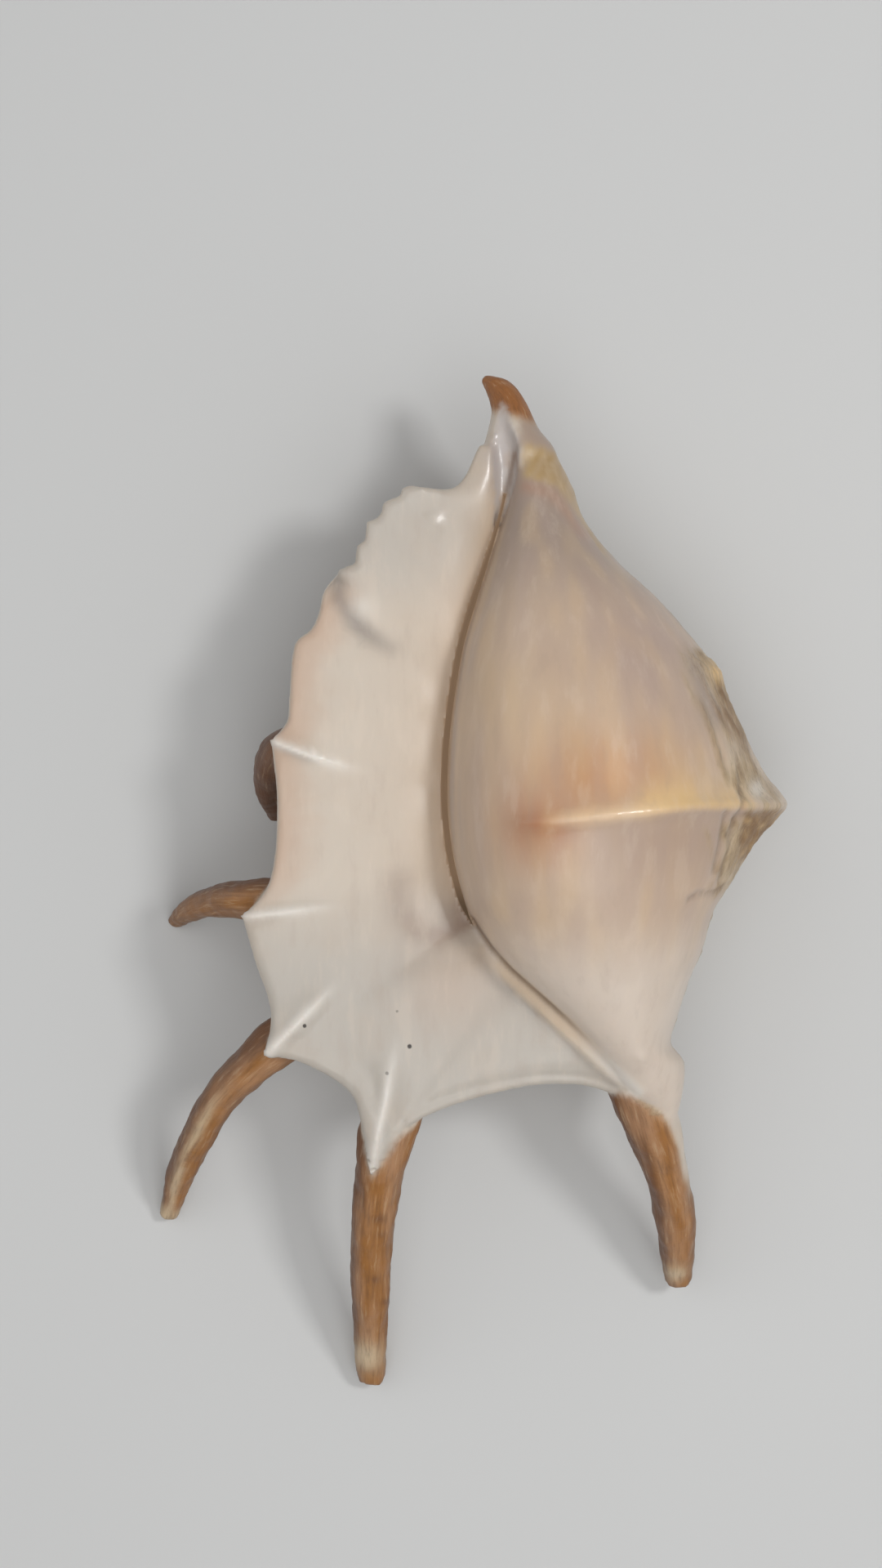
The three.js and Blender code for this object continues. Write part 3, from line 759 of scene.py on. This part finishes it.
print("painting the lip's face")
lipMarks = {
    # line of painted shade round the aperture's rounded end
    "pocketShadeEdge": [(-7.3, -16.5), (-7.4, -20.7), (-4.8, -24.4), (-0.7, -25.8), (2.8, -24.6), (5.1, -22.8)],
    "spots": [("pocketShadeMauve", (3.6, -22), 2.6, 0.75), ("pocketShadeMauve", (-1.5, -22), 5.5, 0.25),
              ("foldShade", (-6.5, -30.3), 3.4, 0.16), ("porcelainPeach", (1.5, -34), 8, 0.4),
              ("apertureShadeTan", (7, -28.5), 3, 0.5)],
    "firstFold": [(-17.4, 33.6), (-17.2, 31), (-14.8, 27.4), (-12.3, 25.3), (-8, 22.4)],
    "firstFoldShade": [(-14.4, 27), (-11.6, 24.6), (-8.4, 22.8)],
    "secondFold": [(-28.4, 7.2), (-24, 5.2), (-19, 3.2)],
    "bump": ((-1.4, 43.9), 1.5),
    # pits in the face: place, size and how dark
    "pits": [((-22.9, -40.6), 0.42, 0.9), ((-5.3, -44.1), 0.5, 1), ((-7.4, -38.2), 0.3, 0.5),
             ((-9.1, -48.6), 0.4, 0.5)],
}
wash("porcelainCool", onLip * easeAll(-y, 14, 34) * 0.85)
wash("porcelainCool", onLip * easeAll(y, 26, 40) * 0.9)
peachPart = easeAll(y, -26, -12) * (1 - easeAll(y, 30, 36))
wash("porcelainPeach", onLip * easeAll(around, 0.42, 0.5) * peachPart * 0.75)
# painted shade: the face turns a darker tan towards the aperture
wash("apertureShadeTan", onLip * np.exp(-np.clip(gap, 0, None) / 6) * openPart * 0.85)
# painted shade on the face's edge at the slit
wash("slotShadeBrown", onLip * (1 - easeAll(gap, 0.6, 1.7)) * openPart * 0.55)
# painted shade round the aperture's rounded posterior end, darkest at its right
away, side, share = beside(lipMarks["pocketShadeEdge"])
wash("pocketShadeMauve", onLip * bellAll(away, lerp(2.6, 1.3, share)) * (0.42 + 0.3 * share))
washSpots(onLip, lipMarks["spots"])

print("painting the callus")
callusMarks = {
    "spots": [("callusLilac", (33, 22), 10, 0.7), ("callusLilac", (42, -13), 9, 0.5),
              ("callusRose", (16, -6.5), 6.5, 1.0)],
    "orange": ((27, 2), (12, 7)),  # middle and spreads
    "yellowSpot": [("callusYellowAndLit", (15, 12), 8, 0.3)],
}
wash("callus", onBody * 1.0)
# the upper body greyer towards the canal end
wash("callusGreyAndShade", onBody * easeAll(y, 24, 42) * 0.8)
washSpots(onBody, callusMarks["spots"])
middle, spread = callusMarks["orange"]
orange = bellAll(x - middle[0], spread[0]) * bellAll(y - middle[1], spread[1])
wash("callusOrange", onBody * orange * easeAll(keelGap, -1.2, 0.4) * 0.8)
# yellow over the crest: partly the callus's own colour, partly painted light on the crest's lit upper side
overCrest = easeAll(keelGap, -0.6, 0.2) * bellAll(np.clip(keelGap, 0, None), 4.5)
wash("callusYellowAndLit", onBody * easeAll(x, 27, 36) * (1 - easeAll(x, 50, 54)) * overCrest * 0.95)
washSpots(onBody, callusMarks["yellowSpot"])
wash("callusLilac", onBody * easeAll(bands, 0.02, 0.34) * 0.22)
wash("callusYellowAndLit", onBody * easeAll(-bands, 0.05, 0.4) * 0.14)
underCrest = easeAll(-keelGap, -0.2, 0.8) * easeAll(keelGap, -16, -4) * easeAll(x, 20, 30)
wash("callusShade", onBody * (bodyAngle < 100) * underCrest * 0.6)
wash("callusPaleAndHighlight", onBody * easeAll(-y, 20, 34) * 0.95)
# painted shade on the body's steep left rim beside the aperture, broken up by the bands
leftRimShade = bellAll(np.clip(-gap, 0, None), 2.4) * easeAll(faceUp, -0.4, 0.3) * (1 - easeAll(y, 20, 42))
wash("rimShadeBlue", onBody * leftRimShade * openPart * (0.3 + 0.4 * easeAll(bands, -0.1, 0.2)))
# painted shade on the body's downward-facing side over the slit
wash("slotShadeBrown", onBody * (1 - easeAll(faceUp, -0.5, -0.1)) * easeAll(18 - x, 0, 6) * openPart * 0.35)

print("painting the back and the large knob")
knobMarks = {
    # line of painted shade down the side above the knob
    "greyShadeStreak": [(42, 20), (45.6, 11)],
    # lines, their width and strength
    "orangeStreaks": [([(47.2, 16.4), (48.6, 11.6), (51.4, 6.4)], 1.1, 0.95),
                      ([(46.4, 12.4), (49, 8)], 0.6, 0.8)],
    # line of painted highlight along the outline below the knob
    "paleEdgeHighlight": [(53, 6.4), (56.4, 1.4), (60.2, -3.4)],
    "yellowSpot": [("callusYellowAndLit", (47.2, 19), 2.2, 0.9)],
    "paleSpot": [("callusPaleAndHighlight", (48, 5.4), 1.8, 0.7)],
    "whiteSpot": [("ridgeWhiteAndHighlight", (53.3, -0.9), 1.5, 0.75)],
    "tip": [("callusPaleAndHighlight", (60, -3.6), 2.2, 0.8)],
    "wrinkles": [[(47.6, -17.2), (45.6, -18.2), (42.6, -18), (40.4, -19.2)],
                 [(46.8, -4.6), (46.2, -10), (45.2, -14.6)], [(48.8, -6), (48, -11), (46.4, -16.4)],
                 [(49.8, 3), (50, -2.6), (47.6, -8.6)]],
}
wash("backCream", outside * 1.0)
wash("backBrown", outside * easeAll(mottle, -0.1, 0.5) * 0.75)
wash("knobCream", sideZone * 0.9)
wash("knobBrown", sideZone * offCrest * easeAll(ragged, -0.1, 0.2) * 0.55)
wash("callusPaleAndHighlight", sideZone * easeAll(-ragged, 0.1, 0.3) * 0.4)
washSpots(onBody, knobMarks["yellowSpot"])
# painted shade: a grey streak down the side above the knob
wash("callusGreyAndShade", onBody * bellBeside(knobMarks["greyShadeStreak"], 1.9) * 0.7)
knobSide = easeAll(sideZone, 0.05, 0.5) * easeAll(fleck, -0.45, 0)
for points, width, strength in knobMarks["orangeStreaks"]:
    wash("knobOrange", knobSide * bellBeside(points, width) * strength)
washSpots(sideZone, knobMarks["paleSpot"])
washSpots(onBody, knobMarks["whiteSpot"])
# painted highlight along the outline below the knob
wash("callusPaleAndHighlight", sideZone * bellBeside(knobMarks["paleEdgeHighlight"], 1.2) * 0.7)
belowCrest = easeAll(z, 12, 18) * easeAll(-keelGap, 0.2, 0.9) * easeAll(x, 49.6, 50.6) * easeAll(y, -14, -12)
wash("knobOrange", onBody * belowCrest * (0.75 + 0.25 * easeAll(fleck, -0.2, 0.2)))
# painted glints in the golden patch under the knob
wash("callusYellowAndLit", onBody * belowCrest * easeAll(fleck, 0.22, 0.34) * 0.6)
washSpots(onBody, knobMarks["tip"])

print("painting the digits")
digitMarks = {
    # tone, place, spread and strength on each digit
    "digit2": [("digitDarkAndShade", (-10.5, -74.5), 1, 0.75), ("digitDarkAndShade", (-10.2, -77.4), 0.6, 0.75),
               ("digitDarkAndShade", (-11.4, -86), 0.7, 0.75), ("digitDarkAndShade", (-9.8, -90.5), 0.6, 0.75),
               ("digitPale", (-13.2, -101.5), 3, 1.0)],
    "digit1": [("digitPale", (41.5, -86.5), 1.8, 0.9)],
}
rough = outside * onDigit
wash("digitGold", rough * 1.0)
wash("digitBrownAndShade", rough * easeAll(streak + 0.4 * fine, 0, 0.5) * 0.6)
# painted shade: darker on the digits' undersides
wash("digitBrownAndShade", rough * easeAll(-faceUp, -0.75, 0.1) * 0.65)
# painted shade down one side of each digit, broken up by the streaks
wash("digitDarkAndShade", rough * easeAll(limbSide + 0.8 * streak, 0.9, 2.6) * 0.7)
wash("digitRose", rough * easeAll(faceUp, 0.3, 0.8) * easeAll(streak - 0.4 * fine, -0.05, 0.3) * 0.6)
# painted shade: the fifth and sixth digits lie in shadow under the lip
wash("digitDarkAndShade", outside * (isPart["digit5"] | isPart["digit6"]) * 0.7)
rough = outside * isPart["digit3"]
# more painted shade down the third digit's side
wash("digitDarkAndShade", rough * bellAll(limbSide - 1.6, 0.9) * 0.5)
worn = easeAll(limbPlace, 0.5, 0.66) * easeAll(fine + streak, -0.5, 0) * (faceUp > 0)
wash("digitPale", rough * bellAll(limbSide - 0.2, 0.8) * worn * 0.85)
wash("digitPale", rough * easeAll(limbPlace, 0.94, 0.99) * 0.7)
for name, rows in digitMarks.items():
    washSpots(isPart[name], rows)

print("painting the canal, the cord and the hollow")
canalMarks = {
    "patchEdge": [(12.6, 51.4), (19.2, 49.9), (21.6, 47.4), (24, 43.6)],
    "channel": [("channelLilac", (9.6, 55), 2.4, 0.6)],
    # spot of painted shade in the channel's dip
    "channelFootShade": [("callusGreyAndShade", (8.2, 50.6), 1.8, 0.4)],
    "channelSeam": [(10.9, 49), (12.1, 54.3), (13.2, 57.2), (12.9, 60.4)],
    "cordSeam": [(5.1, -22.7), (8.3, -27.4), (11.7, -31.2), (16.5, -35.4), (22.2, -40.6), (27, -45.4)],
}
wash("canalOrange", outside * onCanal)
away, side, share = beside(canalMarks["patchEdge"])
above = away * side
canalPart = onBody | onCanal
stripes = 0.5 + 0.5 * np.sin((x * 0.85 - y * 0.5) * 3.1)
canalShade = easeAll(x, 12.4, 14) * easeAll(y, 44, 47) * easeAll(above, 4, 6)
wash("canalShade", canalPart * canalShade * (1 - outside) * 0.85)
patch = easeAll(above, -0.6, 0.8) * (1 - easeAll(above, 5, 7)) * easeAll(x, 12.6, 15)
wash("stripeYellow", canalPart * patch * (0.55 + 0.4 * stripes))
patch = easeAll(above, 0.4, 1.6) * (1 - easeAll(above, 4.6, 6.4)) * easeAll(x, 14, 16)
wash("knobOrange", canalPart * patch * easeAll(stripes, 0.55, 0.9) * 0.4)
wash("callusRose", onBody * bellAll(above + 1.4, 1.1) * easeAll(x, 12.4, 14) * 0.35)
wash("inside", inHollow * 1.0)
# painted shade deep in the hollow's closed end
wash("seamShadeBrown", inHollow * (1 - easeAll(y, -22, -17)) * 0.6)
wash("channelLilac", onGroove * 0.7)
washSpots((onLip | onGroove | onCanal) * (1 - outside), canalMarks["channel"])
# painted shade in the channel's dip
washSpots(onLip, canalMarks["channelFootShade"])
away, side, share = beside([point[:2] for point in limbs["cord"][0]])
cordNear = (onBody | onLip | onCord) * np.exp(-(away / 1.3) ** 4) * easeAll(share, 0, 0.12)
wash("cordCream", cordNear * 0.9)
# the cord's lower end whiter, partly painted highlight
wash("ridgeWhiteAndHighlight", cordNear * easeAll(share, 0.5, 0.85) * 0.8)
wash("foldShade", onLip * bellAll(away - 2.2, 0.8) * (side < 0) * 0.3)
colour = softened(colour, 2)

# lines and spots that stay crisp
for points in knobMarks["wrinkles"]:
    wash("wrinkleBrown", onBody * (bodyAngle < 90) * bellBeside(points, 0.35) * 0.45)
away, side, share = beside(lipMarks["firstFold"])
wash("foldShade", onLip * bellAll(away, 1.5) * (1 - easeAll(share, 0.5, 1)) * 0.6)
away, side, share = beside(lipMarks["secondFold"])
wash("foldShade", onLip * bellAll(away, 0.8) * (side < 0) * (1 - easeAll(share, 0.5, 1)) * 0.6)
away, side, share = beside(canalMarks["cordSeam"])
seamAway = away
seam = (onBody | onLip | onCord) * (1 - easeAll(share, 0.6, 1))
# dark line along the cord's seam, partly painted shade in the crease
wash("seamShadeBrown", seam * bellAll(seamAway, 0.45) * 0.75)
wash("foldShade", onLip * bellBeside(lipMarks["firstFoldShade"], 1.5) * 0.35)
# painted highlight on the hump beside the first fold
washSpots(onLip, [("ridgeWhiteAndHighlight", (-13, 29.6), 2.2, 0.35)])
# painted highlight along the keel's crest
crest = bellAll(keelGap - 0.3, 1.2) * easeAll(x, 15, 21) * (1 - easeAll(x, 32, 40))
wash("crestHighlight", onBody * (bodyAngle < 170) * crest * 0.6)
# fold ridges: whiter enamel with a painted highlight along each crest
for start, end, strength in lip["folds"][1:]:
    away, side, share = beside([start, end])
    wash("ridgeWhiteAndHighlight", onLip * strength * easeAll(share, 0.1, 0.6) * bellAll(away, 0.9) * 0.8)
away, side, share = beside(canalMarks["channelSeam"])
channelSeam = bellAll(away, 0.45) * (1 - easeAll(share, 0.3, 1))
# painted shade line that carries the slit up the channel
wash("seamShadeBrown", (1 - onDigit) * (faceUp > 0) * channelSeam * 0.55)
outside = softened(outside, 1)


# Relief that the smoothing would have lost: ridges, growth lines and cords outside, grain on the digits

relief = {
    "firstFold": 0.6, "bump": 0.45, "pits": 0.15, "seam": 0.3, "ridges": 0.85, "rim": 0.35, "waves": 0.05,
    "keel": 0.2, "cracks": 0.35, "endBump": 0.3, "growth": 0.16, "cords": 0.16, "lipCords": 0.128,
    "knobRagged": 0.2, "knobFleck": 0.18, "grain": 0.12, "dents": 0.18,
}


def lipRise():
    away, side, share = beside(lipMarks["firstFold"])
    step = (side > 0) * bellAll(away - 2.4, 2.4) - 0.6 * bellAll(away, 1.3)
    rise = softened(onLip * relief["firstFold"] * (1 - easeAll(share, 0.6, 1)) * step, 5)
    rise += onLip * relief["bump"] * bellAt(*lipMarks["bump"])
    for place, size, strength in lipMarks["pits"]:
        rise -= onLip * relief["pits"] * strength * bellAt(place, size)
    for start, end, strength in lip["folds"][1:]:
        away, side, share = beside([start, end])
        rise += onLip * relief["ridges"] * strength * easeAll(share, 0.15, 0.8) * np.exp(-away / 0.9)
    rim = softened(onLip * (easeAll(around, 0.48, 0.51) - 0.7 * bellAll(around - 0.47, 0.014)), 3)
    rise += onLip * easeAll(-y, 40, 46) * relief["rim"] * rim
    return rise + onLipBack * outside * relief["lipCords"] * np.sin(along * 190)


def bodyRise():
    keelRise = np.array([keelHeight(a) for a in x]) * easeAll(bodyAngle, 5, 20) * (bodyAngle < 170)
    rise = relief["keel"] * keelRise * bellAll(keelGap, 1.1)
    for points in knobMarks["wrinkles"]:
        rise -= relief["cracks"] * bellBeside(points, 0.5) * (bodyAngle < 90)
    rise += relief["endBump"] * bellAt((33.2, -45.5), 0.9)
    growth = noiseAt(np.column_stack([np.radians(bodyAngle) * 9, y * 0.05, np.full(len(y), 3)]))
    under = easeAll(np.minimum(bodyAngle, 360 - bodyAngle), 20, 50)
    rise += outside * under * (relief["growth"] * growth + relief["cords"] * np.sin(y * 1.55))
    rise += sideZone * offCrest * (relief["knobRagged"] * ragged + relief["knobFleck"] * fleck)
    return onBody * rise


print("raising the relief")
height = lipRise() + bodyRise()
height -= relief["seam"] * seam * bellAll(seamAway, 0.5)
waves = noiseAt(spots * (0.16, 0.11, 0.16)) + 0.5 * noiseAt(spots * (0.5, 0.2, 0.5))
height += (onLip | onBody) * (1 - outside) * relief["waves"] * waves
height += outside * onDigit * relief["grain"] * (streak + fine)
height += outside * relief["dents"] * noiseAt(spots * 0.45)
low, high = (Vector(corner) / placing["mm"] - placing["shift"] for corner in cadBox)
for vert, rise in zip(bm.verts, height):
    vert.co += vert.normal * rise
    vert.co = [clamp(*reach) for reach in zip(vert.co, low, high)]

bmesh.ops.translate(bm, verts=bm.verts, vec=placing["shift"])
bmesh.ops.scale(bm, verts=bm.verts, vec=Vector((1, 1, 1)) * placing["mm"])
bmesh.ops.recalc_face_normals(bm, faces=bm.faces)
for face in bm.faces:
    face.smooth = True
bm.to_mesh(shell.data)
bm.free()


def addAttribute(name, kind, values):
    layer = shell.data.attributes.new(name, kind, "POINT")
    field = {"FLOAT_COLOR": "color", "FLOAT_VECTOR": "vector", "FLOAT": "value"}[kind]
    layer.data.foreach_set(field, np.asarray(values, dtype=np.float32).ravel())


# painted glow on the hollow's walls near the aperture, brighter where it opens
glow = inHollow * easeAll(14 + leftEdge - x, 0, 10) * (0.45 + 0.55 * easeAll(y, -21, -15))
addAttribute("paint", "FLOAT_COLOR", np.column_stack([colour, np.ones(len(spots))]))
addAttribute("outside", "FLOAT", outside)
addAttribute("grain", "FLOAT_VECTOR", grain)
addAttribute("glow", "FLOAT", softened(glow, 1))


# Finish

class Wire:
    # a node's socket that can be used in a sum

    def __init__(self, tree, socket=None):
        self.tree, self.socket = tree, socket

    def node(self, kind, settings, values, output=0):
        made = self.tree.nodes.new(kind)
        for key, value in settings.items():
            setattr(made, key, value)
        for key, value in values.items():
            if isinstance(value, Wire):
                self.tree.links.new(value.socket, made.inputs[key])
            else:
                made.inputs[key].default_value = value
        return Wire(self.tree, made.outputs[output])

    def maths(self, operation, first, second=0.0):
        return self.node("ShaderNodeMath", {"operation": operation}, {0: first, 1: second})

    def __add__(self, other):
        return self.maths("ADD", self, other)

    def __radd__(self, other):
        return self.maths("ADD", other, self)

    def __sub__(self, other):
        return self.maths("SUBTRACT", self, other)

    def __rsub__(self, other):
        return self.maths("SUBTRACT", other, self)

    def __mul__(self, other):
        return self.maths("MULTIPLY", self, other)

    def __rmul__(self, other):
        return self.maths("MULTIPLY", other, self)

    def between(self, low, high):
        return self.node("ShaderNodeMapRange", {"interpolation_type": "SMOOTHSTEP"},
                         {"Value": self, "From Min": low, "From Max": high})

    def mixed(self, other, amount, blend="MIX"):
        return self.node("ShaderNodeMix", {"data_type": "RGBA", "blend_type": blend},
                         {0: amount, 6: self, 7: other}, 2)


finish = {
    "enamelRoughness": 0.32,
    "coat": 0.2,
    "glowTone": (0.12, 0.085, 0.056, 1),
    "outsideRoughness": 0.42,
    "streakDepth": 0.4,
    "veins": 0.13,
    "subsurface": 0.08,
}


def shellMaterial():
    material = bpy.data.materials.new("shellSurface")
    material.cycles.emission_sampling = "NONE"
    material.use_nodes = True
    tree = material.node_tree
    surface = tree.nodes["Principled BSDF"]
    start = Wire(tree)
    painted = start.node("ShaderNodeAttribute", {"attribute_name": "paint"}, {}, "Color")
    outsideness = start.node("ShaderNodeAttribute", {"attribute_name": "outside"}, {}, "Fac")
    grainPlace = start.node("ShaderNodeAttribute", {"attribute_name": "grain"}, {}, "Vector")
    place = start.node("ShaderNodeTexCoord", {}, {}, "Object")
    stretched = start.node("ShaderNodeVectorMath", {"operation": "MULTIPLY"},
                           {0: grainPlace, 1: (1.0, 1.0, 0.1)})
    streaks = start.node("ShaderNodeTexNoise", {}, {"Vector": stretched, "Scale": 1.7, "Detail": 5.0,
                                                    "Roughness": 0.6}, "Fac")
    cloud = start.node("ShaderNodeTexNoise", {}, {"Vector": place, "Scale": 90.0, "Detail": 4.0}, "Fac")
    speck = start.node("ShaderNodeTexNoise", {}, {"Vector": place, "Scale": 1500.0, "Detail": 2.0}, "Fac")
    dark = streaks.between(0.46, 0.7) * outsideness * finish["streakDepth"]
    base = painted.mixed((0.11, 0.05, 0.02, 1), dark)
    base = base.mixed((0.72, 0.56, 0.36, 1), streaks.between(0.46, 0.3) * outsideness * 0.22)
    base = base.mixed((0.5, 0.38, 0.28, 1), cloud.between(0.46, 0.75) * (1 - outsideness) * 0.2)
    veins = start.node("ShaderNodeTexNoise", {},
                       {"Vector": start.node("ShaderNodeVectorMath", {"operation": "MULTIPLY"},
                                             {0: place, 1: (1.0, 0.25, 1.0)}),
                        "Scale": 340.0, "Detail": 4.0, "Roughness": 0.6}, "Fac")
    base = base.mixed((0.8, 0.67, 0.54, 1), veins.between(0.5, 0.68) * (1 - outsideness) * finish["veins"])
    base = base.mixed((0.36, 0.26, 0.2, 1), veins.between(0.48, 0.3) * (1 - outsideness) * finish["veins"])
    flat = start.node("ShaderNodeVectorMath", {"operation": "MULTIPLY"}, {0: place, 1: (1.0, 1.0, 0.0)})
    for place, size, amount in lipMarks["pits"]:
        middle = (Vector((*place, 0)) + placing["shift"]) * placing["mm"]
        away = start.node("ShaderNodeVectorMath", {"operation": "DISTANCE"},
                          {0: flat, 1: (middle.x, middle.y, 0)}, "Value")
        away = away + (speck - 0.5) * 0.0002
        base = base.mixed((0.03, 0.022, 0.016, 1),
                          away.between(size * 0.001, size * 0.0005) * (1 - outsideness) * amount)
    rougher = finish["outsideRoughness"] - finish["enamelRoughness"]
    rough = finish["enamelRoughness"] + outsideness * rougher
    rough = rough + (cloud - 0.5) * 0.12
    bumpHeight = streaks * outsideness + speck * (0.06 + outsideness * 0.25)
    bump = start.node("ShaderNodeBump", {}, {"Strength": 0.45, "Distance": 0.0003, "Height": bumpHeight},
                      "Normal")
    # painted glow standing in for light that comes through the thin wall into the aperture
    glow = start.node("ShaderNodeAttribute", {"attribute_name": "glow"}, {}, "Color")
    through = glow.mixed(finish["glowTone"], 1.0, "MULTIPLY")
    coat = (1 - outsideness) * finish["coat"]
    wires = {"Base Color": base, "Roughness": rough, "Coat Weight": coat, "Normal": bump,
             "Emission Color": through}
    for name, wire in wires.items():
        tree.links.new(wire.socket, surface.inputs[name])
    surface.inputs["IOR"].default_value = 1.5
    surface.inputs["Emission Strength"].default_value = 1.0
    surface.inputs["Coat Roughness"].default_value = 0.12
    surface.inputs["Subsurface Weight"].default_value = finish["subsurface"]
    surface.inputs["Subsurface Scale"].default_value = 0.002
    surface.inputs["Subsurface Radius"].default_value = (1.0, 0.6, 0.35)
    return material


shell.data.materials.clear()
shell.data.materials.append(shellMaterial())
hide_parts("shell")
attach(shell, "root")


# Floor, light and camera

studio = {
    "floorSize": 40.0,
    "floorTone": (0.62, 0.62, 0.61, 1),
    "worldTone": (0.9, 0.91, 0.93, 1),
    "worldStrength": 0.36,
    # place, size and power of each lamp, all turned to the shell
    "lamps": [((0.36, 0.12, 0.6), 0.12, 1.4), ((0.0, -0.2, 0.95), 0.8, 2.7), ((-0.7, 0.3, 0.8), 0.9, 1.5),
              ((0.4, -0.6, 0.8), 0.9, 1.2)],
    "cameraPlace": (-0.0049431, 0.0189329, 0.4997),
    "focalPixels": 3394,
    "photoHeight": 1919,
}

print("setting the floor, lights and camera")
bm = bmesh.new()
bmesh.ops.create_grid(bm, x_segments=1, y_segments=1, size=studio["floorSize"] / 2)
floorMesh = bpy.data.meshes.new("floor")
bm.to_mesh(floorMesh)
bm.free()
floor = bpy.data.objects.new("floor", floorMesh)
bpy.context.scene.collection.objects.link(floor)
floorMaterial = bpy.data.materials.new("paleFloor")
floorMaterial.use_nodes = True
floorMaterial.node_tree.nodes["Principled BSDF"].inputs["Base Color"].default_value = studio["floorTone"]
floorMaterial.node_tree.nodes["Principled BSDF"].inputs["Roughness"].default_value = 0.8
floorMesh.materials.append(floorMaterial)

for index, (spot, size, power) in enumerate(studio["lamps"]):
    lamp = bpy.data.lights.new(f"softLamp{index + 1}", "AREA")
    lamp.size = size
    lamp.energy = power
    holder = bpy.data.objects.new(lamp.name, lamp)
    holder.location = spot
    holder.rotation_euler = (Vector((0, 0, 0.03)) - Vector(spot)).to_track_quat("-Z", "Y").to_euler()
    bpy.context.scene.collection.objects.link(holder)

world = bpy.data.worlds.new("studioWorld")
world.use_nodes = True
world.node_tree.nodes["Background"].inputs["Color"].default_value = studio["worldTone"]
world.node_tree.nodes["Background"].inputs["Strength"].default_value = studio["worldStrength"]
bpy.context.scene.world = world

eye = bpy.data.cameras.new("photoCamera")
eye.sensor_width = 36
eye.lens = studio["focalPixels"] * eye.sensor_width / studio["photoHeight"]
eye.clip_start = 0.01
camera = bpy.data.objects.new("photoCamera", eye)
camera.location = studio["cameraPlace"]
bpy.context.scene.collection.objects.link(camera)
bpy.context.scene.camera = camera
bpy.context.scene.view_settings.view_transform = "Standard"
